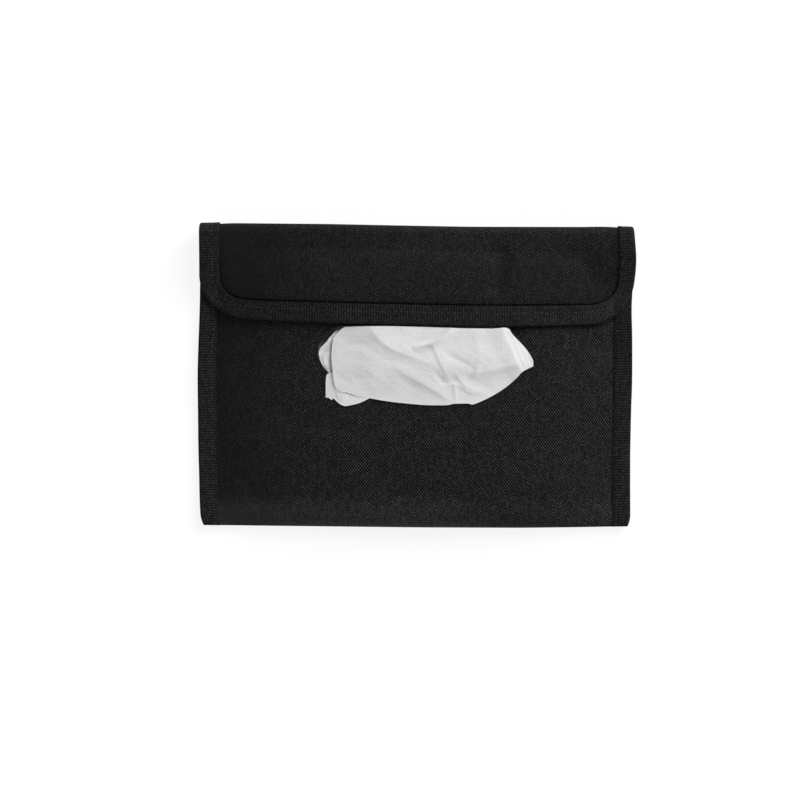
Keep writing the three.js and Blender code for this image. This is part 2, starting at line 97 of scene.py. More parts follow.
# Where the front's cloth dips or swells, in millimetres: the x and y of two ends, the width, the height
front_dents = [
    (-27, -38, -11, -62, 7.5, -0.7),
    (20, -28, 6, -46, 9, 0.4),
    (-104, -46, -86, -70, 7, -1.1),
    (-100, -36, -78, -40, 10, 0.6),
    (-70, -66, 20, -73, 7, 0.5),
    (96, -30, 99, -60, 6, -0.5),
    (70, 12, 92, -14, 12, 0.5),
]

# How far the sewn sides stand outside a straight line, at some heights up the pouch, in millimetres
left_outline = [
    (-84, -0.35), (-70, 0.6), (-58, 0.8), (-41, 1.45), (-23, 1.7), (0, 2.15), (14, 1.8), (36, 1.1),
    (50, 1.0), (66, 0.75), (84, 0.9),
]
right_outline = [
    (-84, -0.8), (-63, -1.0), (-41, -1.1), (-17, -0.7), (-3, -0.2), (25, -0.35), (36, -0.9), (46, -0.6),
    (56, 0.3), (63, 0.95), (70, 0.5), (77, -0.5), (84, -0.8),
]
# How far its top and bottom folds stand above a straight line, at some places across the pouch
top_outline = [
    (-120, -0.5), (-111, -0.3), (-106, 0.4), (-50, 0.4), (-17, 0.0), (27, -0.45), (60, -0.2), (94, 0.05),
    (105, 0.5), (112, -0.2), (120, -0.5),
]
bottom_outline = [
    (-120, 0.7), (-84, 0.3), (-50, 0.0), (0, -0.45), (60, -0.56), (85, -0.22), (105, 0.15), (120, 0.5),
]
outline_softness = 6 * mm
# The share by which the right side is shorter than the middle, and the left side longer
side_lean = 0.005
# How far the tapes' ends are tucked in at the bottom corners, and over what height
corner_tuck = 1.6 * mm
corner_run = 6.5 * mm


def eased(start, end, value):
    """0 before start and 1 after end, with a smooth rise between them."""
    share = np.clip((value - start) / (end - start), 0, 1)
    return share * share * (3 - 2 * share)


def dented(height, x, y, dents, share):
    """A height with a share of its dents: each is a soft line that fades at about twice its width."""
    for left, foot, right, head, width, lift in np.array(dents) * mm:
        run_x, run_y = right - left, head - foot
        along = ((x - left) * run_x + (y - foot) * run_y) / (run_x**2 + run_y**2)
        along = np.clip(along, 0, 1)
        off = (x - left - along * run_x) ** 2 + (y - foot - along * run_y) ** 2
        height = height + share * lift * np.exp(-off / width**2)
    return height


def side_share(x):
    return 1 - np.minimum(1, np.abs(x) / seam_half) ** side_power


def end_share(y):
    down = np.clip((shoulder_edge - y) / (shoulder_edge - bottom_edge), 0, 1)
    up = np.maximum(0, (y - mouth_edge) / mouth_slope + 1)
    return (1 - down**shoulder_power) ** (1 / shoulder_power) - mouth_drop * up**2


def front_under(x, y):
    """Height of the front's underside over a point of the plane."""
    height = seam_level + loft * side_share(x) * end_share(y)
    return dented(height, x, y, front_dents, side_share(x) ** 0.5)


def front_outer(x, y):
    return front_under(x, y) + cloth_thickness


def outline_shift(outline, place, softness=outline_softness):
    """How far an outline is shifted at a place along it."""
    places, shifts = (np.array(column) * mm for column in zip(*outline))
    offsets = np.linspace(-softness, softness, 5)
    return sum(np.interp(place + offset, places, shifts) for offset in offsets) / len(offsets)


def handmade(points):
    """Moves a grid of points from the even pattern to the slightly uneven sewn shape."""
    x, y, z = np.moveaxis(points, -1, 0)
    reach = x / half_width
    sideways = np.where(x > 0, outline_shift(right_outline, y), -outline_shift(left_outline, y))
    tucked = corner_tuck * np.clip((bottom_edge + corner_run - y) / corner_run, 0, 1) ** 2
    sideways = sideways - np.sign(x) * tucked
    upward = np.where(y > 0, outline_shift(top_outline, x), outline_shift(bottom_outline, x))
    upward = upward * np.clip(y / bottom_edge, -1, 1) ** 4
    return np.stack([x + sideways * reach**2, y * (1 - side_lean * reach) + upward, z], axis=-1)


def unit(vectors):
    return vectors / np.linalg.norm(vectors, axis=-1, keepdims=True)


def grid_normals(points, ring=False):
    """Unit normals of a grid of points; in a ring the last row comes before the first."""
    wide = np.concatenate([points[-1:], points, points[:1]]) if ring else points
    normals = unit(np.cross(np.gradient(wide, axis=1), np.gradient(wide, axis=0)))
    return normals[1:-1] if ring else normals


def distances(path):
    """Distances along a path to each of its points."""
    return np.cumsum(np.r_[0, np.linalg.norm(np.diff(path, axis=0), axis=1)])


def add_object(name, data):
    added = bpy.data.objects.new(name, data)
    bpy.context.scene.collection.objects.link(added)
    return added


def add_mesh(name, points, faces, cut_places):
    """A smooth-shaded closed piece; cut_places says where each face corner lay on the flat cloth."""
    mesh = bpy.data.meshes.new(name)
    mesh.from_pydata(points.reshape(-1, 3).tolist(), [], [list(face) for face in faces])
    cut_map = mesh.uv_layers.new(name="cut")
    cut_map.data.foreach_set("uv", cut_places.astype(np.float32).ravel())
    shape = bmesh.new()
    shape.from_mesh(mesh)
    bmesh.ops.recalc_face_normals(shape, faces=shape.faces)
    shape.to_mesh(mesh)
    shape.free()
    mesh.shade_smooth()
    mesh.set_sharp_from_angle(angle=math.radians(55))
    return add_object(name, mesh)


def add_sheet(name, middle, thickness, ring=False, along_from=0.0, along_column=None):
    """Cloth or paper of some thickness either side of a grid of points, closed at its rims. A tape
    that bends has all its distances along taken from one column, so its ribs stay square to it."""
    rows, columns = middle.shape[:2]
    spans = rows if ring else rows - 1
    depth = np.broadcast_to(np.asarray(thickness, float), (rows, columns))[..., None] / 2
    normals = grid_normals(middle, ring)
    points = np.stack([middle + normals * depth, middle - normals * depth])
    closed = np.concatenate([middle, middle[:1]]) if ring else middle
    along = np.cumsum(np.linalg.norm(np.diff(closed, axis=0), axis=2), axis=0)
    along = along_from + np.vstack([np.zeros((1, columns)), along])
    if along_column is not None:
        along = np.repeat(along[:, along_column, None], columns, axis=1)
    across = np.cumsum(np.linalg.norm(np.diff(closed, axis=1), axis=2), axis=1)
    across = np.hstack([np.zeros((len(closed), 1)), across])
    across = across - across[:, columns // 2 : columns // 2 + 1]

    last = columns - 1
    i, j = np.meshgrid(np.arange(spans), np.arange(last), indexing="ij")
    e, c = np.arange(spans), np.arange(last)
    quads = [
        [(0, i, j), (0, i, j + 1), (0, i + 1, j + 1), (0, i + 1, j)],
        [(1, i, j), (1, i + 1, j), (1, i + 1, j + 1), (1, i, j + 1)],
        [(0, e, 0), (0, e + 1, 0), (1, e + 1, 0), (1, e, 0)],
        [(0, e + 1, last), (0, e, last), (1, e, last), (1, e + 1, last)],
    ]
    if not ring:
        quads.append([(0, 0, c + 1), (0, 0, c), (1, 0, c), (1, 0, c + 1)])
        quads.append([(0, spans, c), (0, spans, c + 1), (1, spans, c + 1), (1, spans, c)])
    faces, places = [], []
    for quad in quads:
        corners = [np.broadcast_arrays(*corner) for corner in quad]
        spots = [(layer * rows + row % rows) * columns + column for layer, row, column in corners]
        faces.append(np.stack([spot.ravel() for spot in spots], axis=1))
        on_cloth = [(across[row, column], along[row, column]) for _, row, column in corners]
        places.append(np.stack([np.stack(spot, axis=-1).reshape(-1, 2) for spot in on_cloth], axis=1))
    return add_mesh(name, points, np.concatenate(faces), np.concatenate(places))


def dress(piece, finish, slot, body, *nodes):
    """Gives a piece its finish and the body that it rides on, and hides the solids that it stands for; slot
    is not used.
    """
    piece.data.materials.append(finish)
    if body:
        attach(piece, body)
    if nodes:
        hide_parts(*nodes)
    return piece


class Signal:
    """A socket of a finish, as a number in its sums: each operator adds a Math node."""

    def __init__(self, finish, socket):
        self.finish = finish
        self.socket = socket

    def maths(self, operation, *values):
        sockets = dict(enumerate([self, *values]))
        return self.finish.node("ShaderNodeMath", {"operation": operation}, sockets)

    __add__ = __radd__ = partialmethod(maths, "ADD")
    __sub__ = partialmethod(maths, "SUBTRACT")
    __mul__ = __rmul__ = partialmethod(maths, "MULTIPLY")
    __truediv__ = partialmethod(maths, "DIVIDE")
    __pow__ = partialmethod(maths, "POWER")
    __abs__ = partialmethod(maths, "ABSOLUTE")
    whole = partialmethod(maths, "FLOOR")

    def __rsub__(self, other):
        return self.maths("MULTIPLY_ADD", -1, other)

    def wave(self):
        """A sine with one full turn for every 2 of this number."""
        return (self * math.pi).maths("SINE")

    def rise(self, low, high):
        """0 below low and 1 above high, with a smooth step between them."""
        sockets = {"Value": self, "From Min": low, "From Max": high}
        return self.finish.node("ShaderNodeMapRange", {"interpolation_type": "SMOOTHSTEP"}, sockets)


class Finish:
    """A material or a world, its nodes and what comes out of them."""

    def __init__(self, name, family=bpy.data.materials):
        self.material = family.new(name)
        self.material.use_nodes = True
        self.nodes = self.material.node_tree.nodes
        self.nodes.clear()

    def node(self, kind, settings=None, sockets=None, output=0):
        made = self.nodes.new(kind)
        for name, value in (settings or {}).items():
            setattr(made, name, value)
        for name, value in (sockets or {}).items():
            if isinstance(value, Signal):
                self.material.node_tree.links.new(value.socket, made.inputs[name])
            else:
                made.inputs[name].default_value = value
        return Signal(self, made.outputs[output] if made.outputs else None)

    def first_two(self, place):
        """The first two numbers of a place."""
        split = self.node("ShaderNodeSeparateXYZ", None, {0: place}).socket.node
        return Signal(self, split.outputs[0]), Signal(self, split.outputs[1])

    def cut(self):
        """Distances across and along the flat cloth, in metres."""
        return self.first_two(self.node("ShaderNodeUVMap", {"uv_map": "cut"}))

    def in_space(self):
        return self.node("ShaderNodeTexCoord", output="Object")

    def spot(self, x, y, z=0.0):
        return self.node("ShaderNodeCombineXYZ", sockets={"X": x, "Y": y, "Z": z})

    def noise(self, place, size, detail=2.0, rough=0.5):
        """Cloudy noise from 0 to 1 whose patches are about size metres wide."""
        sockets = {"Vector": place, "Scale": 1 / size, "Detail": detail, "Roughness": rough}
        return self.node("ShaderNodeTexNoise", None, sockets)

    def fleck(self, x, y):
        """A random number from 0 to 1 for each pair of whole numbers."""
        return self.node("ShaderNodeTexWhiteNoise", {"noise_dimensions": "2D"}, {"Vector": self.spot(x, y)})

    def shade(self, colour, brightness):
        """A colour made darker or lighter by a number."""
        sockets = {0: colour, "Scale": brightness}
        return self.node("ShaderNodeVectorMath", {"operation": "SCALE"}, sockets)

    def surface(self, colour, bright, roughness, relief, specular):
        """The shader itself: a colour and its brightness, and a relief in metres."""
        bump = self.node("ShaderNodeBump", None, {"Height": relief, "Distance": 1.0})
        sockets = {"Base Color": self.shade(colour, bright), "Roughness": roughness, "Normal": bump}
        sockets["Specular IOR Level"] = specular
        shader = self.node("ShaderNodeBsdfPrincipled", None, sockets)
        self.node("ShaderNodeOutputMaterial", None, {"Surface": shader})
        return self.material


def woven_nylon():
    """Plain weave: yarns pass over and under each other, so the crossings make a chequered relief. It is
    flatter on the flap and to the left, with painted shade there; painted light makes it paler along the
    folds, and painted highlights glint on it."""
    finish = Finish("black_woven_nylon")
    across, along = finish.cut()
    place = finish.spot(across, along)
    warp = across / warp_pitch + finish.noise(place, 9 * mm) * 1.2
    weft = along / weft_pitch + finish.noise(finish.spot(along, across, 0.7), 9 * mm) * 1.2
    warp_yarn = finish.noise(finish.spot(warp.whole(), weft * 0.3, 3.1), 1.3, 1)
    weft_yarn = finish.noise(finish.spot(warp * 0.3, weft.whole(), 8.4), 1.3, 1)
    crossing = warp.wave() * weft.wave()
    dome = abs(crossing) ** 0.5
    over = (crossing + (warp - weft + 0.5).wave() * 0.45).rise(-0.15, 0.15)
    yarn = over * warp_yarn + (1 - over) * weft_yarn
    fleck = finish.fleck(warp.whole(), weft.whole())
    patches = finish.noise(place, 9 * mm, 3)
    # Painted highlights: small bright glints added to the colour, where the cloth is a little glossier too
    glints = finish.noise(place, 0.6 * mm, 0).rise(0.60, 0.78)
    aside, up = finish.first_two(finish.in_space())
    # Painted light: the colour is paler along the bottom fold, most towards the left, and near the top fold
    # on the right
    bottom_painted_light = 1 - (up + patches * 0.01).rise(bottom_edge + 12 * mm, bottom_edge + 26 * mm)
    bottom_painted_light = bottom_painted_light * (1 - aside.rise(10 * mm, 50 * mm) * 0.6)
    top_painted_light = up.rise(hinge_y - 22 * mm, hinge_y) * aside.rise(-70 * mm, 30 * mm)
    # On the flap and towards the left the weave is flatter, and a painted shade darkens it
    folded_down = up.rise(33 * mm, 38 * mm)
    flat = (1 - aside.rise(-112 * mm, -45 * mm)) * 0.5 + bottom_painted_light * 0.4 + folded_down * 0.25
    bright = (dome * 1.3 + 0.05) * (over * 2.2 + 0.05) * (yarn * 1.5 + 0.25) * (fleck * 1.0 + 0.5)
    bright = (bright + glints * dome * 1.2) * (1 - flat) + flat * 0.72
    bright = bright * (patches * 0.4 + 0.8)
    bright = bright * (bottom_painted_light * 1.4 + top_painted_light * 0.35 - folded_down * 0.18 + 1)
    relief = (dome * (yarn * 0.6 + 0.7) + over * 0.3) * (1 - flat * 0.8) * (0.16 * mm)
    dull = 0.7 - glints * 0.18
    return finish.surface((0.0117, 0.0119, 0.0117), bright, dull, relief, specular=0.04)


woven_cloth = woven_nylon()
margin = np.linspace(seam_half, cloth_half, 6)[1:]
cloth_columns = np.concatenate([-margin[::-1], np.linspace(-seam_half, seam_half, 113), margin])


def front_strip():
    """Middle of the cloth from the mouth down the front to the bottom fold."""
    x, y = np.meshgrid(cloth_columns, np.linspace(mouth_edge, shoulder_edge, 64))
    flat = np.stack([x, y, front_under(x, y) + cloth_thickness / 2], axis=-1)
    x, turn = np.meshgrid(cloth_columns, np.linspace(0, math.pi / 2, 22)[1:])
    share = np.sin(turn) ** (2 / shoulder_power)
    y = shoulder_edge - (shoulder_edge - bottom_edge - cloth_thickness / 2) * share
    height = np.maximum(front_under(x, shoulder_edge - (shoulder_edge - bottom_edge) * share), seam_level)
    return np.concatenate([flat, np.stack([x, y, height + cloth_thickness / 2], axis=-1)])


def fold_and_back():
    """The strip's small turn at the bottom and its flat back, up to where the top fold begins."""
    drop = seam_level + cloth_thickness / 2 - back_middle
    lowest = bottom_edge + cloth_thickness / 2
    x, turn = np.meshgrid(cloth_columns, np.linspace(0, math.pi, 8)[1:-1])
    y = lowest + drop / 2 - drop / 2 * np.sin(turn)
    y = np.where(turn < math.pi / 2, lowest, y)
    fold = np.stack([x, y, back_middle + drop / 2 * (1 + np.cos(turn))], axis=-1)
    x, y = np.meshgrid(cloth_columns, np.linspace(lowest + drop / 2, hinge_y, 60))
    ripple = np.sin(x * 61) * np.sin(y * 43 + 1) * (1 - (x / cloth_half) ** 2)
    sag = back_wave * ripple * (1 - ((y - hinge_y / 2) / hinge_y) ** 2)
    return np.concatenate([fold, np.stack([x, y, back_middle + sag], axis=-1)])


def slot_ring(outset):
    """Points round the slot, set out from its edge."""
    straight = slot_half - slot_radius
    turns = np.linspace(-math.pi / 2, math.pi / 2, 32)
    reach = slot_radius + outset
    spread = np.linspace(-straight, straight, 32)[1:-1]
    x = np.concatenate([straight + reach * np.cos(turns), spread[::-1]])
    y = np.concatenate([reach * np.sin(turns), np.full(len(spread), reach)])
    right_side = np.stack([x, y], axis=1)
    return np.concatenate([right_side, -right_side]) + [0, slot_centre]


def add_slot_cutter():
    """A tall block with the slot's outline."""
    outline = slot_ring(0.0)
    count = len(outline)
    outline = handmade(np.column_stack([outline, np.zeros(count)]))
    points = np.concatenate([outline + [0, 0, level] for level in (seam_level, front_high.z * 2)])
    mesh = bpy.data.meshes.new("slot_cutter")
    sides = [[i, (i + 1) % count, (i + 1) % count + count, i + count] for i in range(count)]
    caps = [list(range(count))[::-1], list(range(count, 2 * count))]
    mesh.from_pydata(points.tolist(), [], sides + caps)
    mesh.uv_layers.new(name="cut")
    return add_object("slot_cutter", mesh)


pouch_strip = handmade(np.concatenate([front_strip(), fold_and_back()]))
pouch_cloth = add_sheet("pouch_cloth", pouch_strip, cloth_thickness)
cutter = add_slot_cutter()
cut_slot = pouch_cloth.modifiers.new("cut_slot", "BOOLEAN")
cut_slot.operation = "DIFFERENCE"
cut_slot.solver = "EXACT"
cut_slot.object = cutter
finished = pouch_cloth.evaluated_get(bpy.context.evaluated_depsgraph_get())
slotted = bpy.data.meshes.new_from_object(finished)
pouch_cloth.modifiers.clear()
pouch_cloth.data = slotted
bpy.data.objects.remove(cutter)
pouch_cloth.data.materials.clear()
dress(pouch_cloth, woven_cloth, "cloth", "pouch", "front_panel", "back_panel")
measured_column = 62
strip_length = float(distances(pouch_strip[:, measured_column])[-1])


# The slot's facing: a ring of the same cloth, turned in round the slot's raw edge and stitched down.
# Its stitches show as a row of black thread round the slot.
facing_thickness = 0.5 * mm
facing_stitch_inset = 2.6 * mm
stitch_length = 2.5 * mm
stitch_gap = 0.7 * mm
thread_width = 0.34 * mm
seam_lift = 0.05 * mm

# Across the facing: how far out from the slot's edge, and how high above the front's underside
facing_section = [
    (8.8, -0.58), (7.0, -0.56), (5.0, -0.55), (3.4, -0.52), (2.6, -0.48), (1.6, -0.55), (0.7, -0.56),
    (0.1, -0.50), (-0.22, -0.28), (-0.32, 0.05), (-0.32, 0.35), (-0.22, 0.55), (-0.02, 0.66),
]


def facing_grid():
    rows = []
    for outset, level in facing_section:
        outline = slot_ring(outset * mm)
        rows.append(np.column_stack([outline, front_under(*outline.T) + level * mm]))
    return np.stack(rows, axis=1)


slot_facing = add_sheet("slot_turned_facing", handmade(facing_grid()), facing_thickness, ring=True)
dress(slot_facing, woven_cloth, "cloth", "pouch", "slot_facing")
facing_length = 2 * math.pi * (slot_radius + facing_width / 2) + 4 * (slot_half - slot_radius)


def sewing_thread():
    """Twisted black polyester thread, a little glossier than the cloth."""
    finish = Finish("black_thread")
    around, along = finish.cut()
    strand = abs((along / (0.9 * mm) + around / (0.8 * mm)).wave())
    lint = finish.noise(finish.in_space(), 2 * mm)
    bright = (strand * 0.8 + 0.4) * (lint * 0.6 + 0.7)
    dull, relief = 0.5 - strand * 0.1, strand * (0.04 * mm)
    return finish.surface((0.016, 0.016, 0.0165), bright, dull, relief, specular=0.3)


black_thread = sewing_thread()


def add_threads(name, paths, width, dip):
    """One piece of many short threads. Each has a row of points with the direction up at each."""
    sides, (count, rings) = 6, paths.shape[:2]
    centres = paths[..., :3]
    forward = unit(np.gradient(centres, axis=1))
    sideways = unit(np.cross(forward, paths[..., 3:]))
    up = np.cross(sideways, forward)
    arch = np.sin(math.pi * np.linspace(0, 1, rings))
    centres = centres + up * ((arch**0.6 - 1) * dip)[:, None]
    girth = width / 2 * (0.55 + 0.45 * arch**0.5)
    turns = (np.arange(sides) / sides * 2 * math.pi)[:, None, None, None]
    points = centres + (np.cos(turns) * sideways + np.sin(turns) * up) * girth[:, None]
    points = np.moveaxis(points, 0, 2)

    thread, ring, side = np.indices((count, rings - 1, sides))
    corners = [(ring, side), (ring, side + 1), (ring + 1, side + 1), (ring + 1, side)]
    spots = [(thread * rings + row) * sides + place % sides for row, place in corners]
    faces = np.stack([spot.ravel() for spot in spots], axis=1).tolist()
    length = distances(paths[0, :, :3])[-1]
    places = [np.stack([place * width / 2, row / rings * length], axis=-1) for row, place in corners]
    places = np.stack([place.reshape(-1, 2) for place in places], axis=1).reshape(-1, 2)
    for start in range(0, count * rings * sides, rings * sides):
        for cap in (start, start + (rings - 1) * sides):
            faces.append(list(range(cap, cap + sides)))
    return add_mesh(name, points, faces, np.concatenate([places, np.zeros((count * 2 * sides, 2))]))


def sew(name, rows, body, *nodes):
    """Rows of stitches: each row is a path of points, with the direction up at each point."""
    threads = []
    for row in rows:
        reach = distances(row[:, :3])
        count = max(1, int(reach[-1] / (stitch_length + stitch_gap)))
        pitch = reach[-1] / count
        starts = np.arange(count)[:, None] * pitch + stitch_gap / 2
        spots = starts + np.linspace(0, pitch - stitch_gap, 7)
        threads.append(np.stack([np.interp(spots, reach, column) for column in row.T], axis=-1))
    stitches = add_threads(name, np.concatenate(threads), thread_width, 1.5 * thread_width)
    return dress(stitches, black_thread, "thread", body, *nodes)


def facing_up(path, up=1):
    """A path of points with the direction up, or down, at each."""
    return np.column_stack([path, np.tile([0, 0, up], (len(path), 1))])


outline = slot_ring(facing_stitch_inset)
outline = np.concatenate([outline, outline[:1]])
seam_points = np.column_stack([outline, front_outer(*outline.T) + seam_lift])
sew("slot_facing_stitches", [facing_up(handmade(seam_points))], "pouch")


# Ribbed black binding tape. It is folded over the front's upper edge, where the pouch's mouth is,
# and held by one row of stitches that goes through both of its legs.
tape_thickness = 0.6 * mm
binding_half = cloth_thickness / 2 + layer_gap + tape_thickness
mouth_tape_width = 8 * mm
rib_pitch = 1.47 * mm
tape_end_pitch = 0.66 * mm
# The columns of a tape's grid that its stitches follow, on its upper leg and on its lower one
stitched_columns = (-5, 4)


def ribbed_tape(name, painted_shade=0.0):
    """Ribs run across the tape; finer warp ends cross them, shifted by half at every rib. A share of
    painted shade paints it darker under the flap's right corner, and darker still along its outer fold
    there."""
    finish = Finish(name)
    across, along = finish.cut()
    place = finish.spot(across, along)
    ribs = along / rib_pitch + finish.noise(place, 5 * mm) * 0.8
    ridge = abs(ribs.wave())
    ends = (across / tape_end_pitch + ribs.whole()).wave()
    patches = finish.noise(place, 6 * mm, 3)
    fuzz = finish.noise(place, 0.45 * mm, 1)
    weaver = finish.noise(finish.spot(ribs.whole(), across * 60, 2.0), 1.3, 1)
    strength = finish.noise(finish.spot(across, along, 5.0), 8 * mm).rise(0.35, 0.6)
    fleck = finish.fleck(ribs.whole(), (across / tape_end_pitch).whole())
    bright = (ridge**2 * 1.35 + 0.4) * (ends * (strength * 0.4 + 0.25) + 0.9) * (weaver * 0.4 + 0.8)
    bright = bright * (patches * 0.2 + 0.9) * (fuzz * 0.9 + 0.55) * (fleck * 1.1 + 0.45)
    if painted_shade:
        # Painted shade under the flap's right corner and along the tape's outer fold
        aside, up = finish.first_two(finish.in_space())
        outer = aside.rise(117 * mm, 119.4 * mm) * up.rise(-14 * mm, 0)
        bright = bright * (1 - up.rise(-6 * mm, 22 * mm) * painted_shade - outer * (2 * painted_shade))
    relief = (ridge * 1.2 + abs(ends) * 0.35) * (0.1 * mm)
    dull = 0.7 - fuzz * 0.1
    return finish.surface((0.0107, 0.0109, 0.0107), bright, dull, relief, specular=0.05)


tape_finish = ribbed_tape("black_ribbed_tape")
# The right side's tape has painted shade under the flap's corner
painted_shade_tape = ribbed_tape("black_worn_tape", 0.22)


def binding_section(width, half, seam=2 * mm):
    """Middle of a folded tape: how far in from its edge, and how high above the cloth's middle. The
    row of stitches lies the seam's distance from the tape's inner edge."""
    leg = half - tape_thickness / 2
    turn = min(leg, 0.9 * mm)
    flat = width - np.array([0, 0.35 * mm, 0.7 * mm, seam - 0.8 * mm, seam, seam + 0.8 * mm])
    flat = np.concatenate([flat, np.linspace(width - seam - 1.8 * mm, turn + 0.8 * mm, 4)])
    sunk = np.exp(-((flat - width + seam) ** 2) / (0.9 * mm) ** 2)
    edge_share = np.exp(-((flat - width) ** 2) / (0.8 * mm) ** 2)
    settled = leg - 0.14 * mm * sunk - 0.12 * mm * edge_share
    bend = np.linspace(-math.pi / 2, math.pi / 2, 9)
    edge = turn + tape_thickness / 2
    inward = np.concatenate([flat, edge - turn * np.cos(bend), flat[::-1]])
    lift = np.concatenate([-settled, leg * np.sin(bend), settled[::-1]])
    return inward, lift


def ripples(x, y, size, seed, count=9):
    """Gentle unevenness between about -1 and 1: waves of about that size, drawn from a seed."""
    draw = random.Random(seed)
    total = 0
    for _ in range(count):
        heading = draw.uniform(0, math.pi)
        turns = 2 * math.pi / (size * draw.uniform(0.7, 1.7))
        start = draw.uniform(0, 2 * math.pi)
        total = total + np.sin((x * math.cos(heading) + y * math.sin(heading)) * turns + start)
    return total / count**0.5 / 1.4


def tape_seams(grid, up=1):
    """Both sides of the seam along a folded tape. The grid's columns run across the tape."""
    normals = grid_normals(grid)
    seams = []
    for column, way in zip(stitched_columns, (up, -up)):
        outward = normals[:, column] * np.sign(normals[0, column, 2] * way)
        seams.append(np.column_stack([grid[:, column] + outward * tape_thickness / 2, outward]))
    return seams


def mouth_grid():
    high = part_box("mouth_tape")[1]
    x = np.linspace(-high.x, high.x, int(2 * high.x / (1.5 * mm)))
    inward, lift = binding_section(mouth_tape_width, binding_half)
    x, inward = np.meshgrid(x, inward, indexing="ij")
    wander = 0.25 * mm * ripples(x, x * 0, 30 * mm, 4) * inward / mouth_tape_width
    y = high.y - inward - wander
    under = front_under(x, np.minimum(y, mouth_edge)) + cloth_thickness / 2
    return np.stack([x, y, under + lift], axis=-1)


mouth_points = handmade(mouth_grid())
mouth_binding = add_sheet("mouth_binding", mouth_points, tape_thickness)
dress(mouth_binding, tape_finish, "tape", "pouch", "mouth_tape")
sew("mouth_stitches", tape_seams(mouth_points), "pouch")


# The loop patches: two strips of soft nylon loops, sewn to the front under the flap. The hook patches
# under the flap press into them. Each is a woven base with a pile of fine loops.
patch_edge = 1.6 * mm
patch_seam = 0.9 * mm
patch_base = 0.35 * mm
patch_gap = 0.1 * mm
loop_height = 0.5 * mm
loop_reach = 0.5 * mm
pile_thread = 0.09 * mm


def fastener_base():
    """Tightly woven nylon tape, dull and darker than the cloth."""
    finish = Finish("black_hook_and_loop")
    across, along = finish.cut()
    weave = abs((across / (0.5 * mm)).wave()) * abs((along / (0.7 * mm)).wave())
    lint = finish.noise(finish.spot(across, along), 1.5 * mm, 4)
    bright = (weave * 0.7 + 0.5) * (lint * 1.1 + 0.4)
    dull, relief = 0.8 - lint * 0.1, weave * (0.1 * mm)
    return finish.surface((0.008, 0.008, 0.0082), bright, dull, relief, specular=0.1)


fastener_finish = fastener_base()


def pile_spots(node, spacing, seed, scatter):
    """Places of the pile's threads, in rows, each moved a little at random."""
    low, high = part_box(node)
    draw = np.random.default_rng(seed)
    xs = np.arange(low.x + patch_edge, high.x - patch_edge, spacing)
    ys = np.arange(low.y + patch_edge, high.y - patch_edge, spacing)
    x, y = (axis.ravel() for axis in np.meshgrid(xs, ys))
    x = x + draw.uniform(-scatter, scatter, x.size)
    y = y + draw.uniform(-scatter, scatter, x.size)
    return x, y, draw.uniform(0, math.pi, x.size)


def pile_paths(spots, level, reach, height, sweep, up):
    """Small arches of thread that stand on a patch. A sweep of half a turn is a whole loop."""
    x, y, heading = (column[:, None] for column in spots)
    turns = np.linspace(0, sweep, 6)
    x = x - reach * np.cos(turns) * np.cos(heading)
    y = y - reach * np.cos(turns) * np.sin(heading)
    spine = handmade(np.stack([x, y, level(x, y) + up * height * np.sin(turns)], axis=-1))
    slant = np.stack([-np.sin(heading), np.cos(heading), 0 * heading], axis=-1)
    return np.concatenate([spine, np.broadcast_to(slant, spine.shape)], axis=-1)


def box_corners(node, inset=0.0):
    low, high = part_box(node)
    left, right, foot, head = low.x + inset, high.x - inset, low.y + inset, high.y - inset
    return [(left, foot), (right, foot), (right, head), (left, head)]


def add_patch(node, level, body, pile_name, pile, up, lift):
    """A woven strip with rounded loops or hooks on it, and a row of stitches just inside its edge."""
    name = node.replace("_patch", "")
    (left, foot), _, (right, head), _ = box_corners(node)
    x, y = np.meshgrid(np.linspace(left, right, 64), np.linspace(foot, head, 20))
    base_points = handmade(np.stack([x, y, level(x, y) - up * patch_base / 2], axis=-1))
    strip = add_sheet(f"{name}_strip", base_points, patch_base)
    dress(strip, fastener_finish, "hook_and_loop", body, node)
    threads = add_threads(pile_name, pile_paths(*pile, up), pile_thread, 0.0)
    dress(threads, fastener_finish, "hook_and_loop", body)
    corners = box_corners(node, patch_seam)
    sides = [np.linspace(start, end, 24) for start, end in zip(corners, corners[1:] + corners[:1])]
    row = np.concatenate(sides)
    row = np.column_stack([row, level(*row.T) + lift])
    sew(f"{name}_stitches", [facing_up(handmade(row), up)], body)


def loop_level(x, y):
    return front_outer(x, y) + patch_gap + patch_base


for side, seed in (("left", 11), ("right", 12)):
    node = f"{side}_loop_patch"
    loops = (pile_spots(node, 0.95 * mm, seed, 0.35 * mm), loop_level, loop_reach, loop_height, math.pi)
    add_patch(node, loop_level, "pouch", f"{side}_loop_pile", loops, 1, seam_lift)


# Ribbed tape bound round the pouch's left and right sides. It folds over the raw edges of the back
# and the front and ends just below the top fold. One row of stitches goes through all the layers.
side_tape_width = half_width - side_tape_low.x
side_middle = (side_tape_low.z + side_tape_high.z) / 2
side_half = (side_tape_high.z - side_tape_low.z) / 2
tape_end_run = 2.2 * mm


def side_grid(side, seed, pressed):
    """Middle of a side's tape, and its thickness."""
    inward, lift = binding_section(side_tape_width, side_half)
    near_edge = np.exp(-(((inward - side_tape_width) / (1.5 * mm)) ** 2)) * (lift > 0)
    lift = lift - pressed * near_edge
    y = np.linspace(side_tape_low.y, side_tape_high.y, 110)
    y, inward = np.meshgrid(y, inward, indexing="ij")
    share = inward / side_tape_width
    wander = 0.28 * mm * ripples(y, y * 0, 28 * mm, seed) * share**2
    pucker = 0.07 * mm * ripples(y, y * 0, 5 * mm, seed + 1) * share
    end = np.minimum(y - side_tape_low.y, tape_end_run) / tape_end_run
    pinch = 1 - 0.16 * (1 - end) ** 2
    x = side * (half_width - inward - wander)
    z = side_middle + (lift + pucker * np.sign(lift)) * pinch
    return handmade(np.stack([x, y, z], axis=-1)), tape_thickness - pressed * 0.8 * near_edge


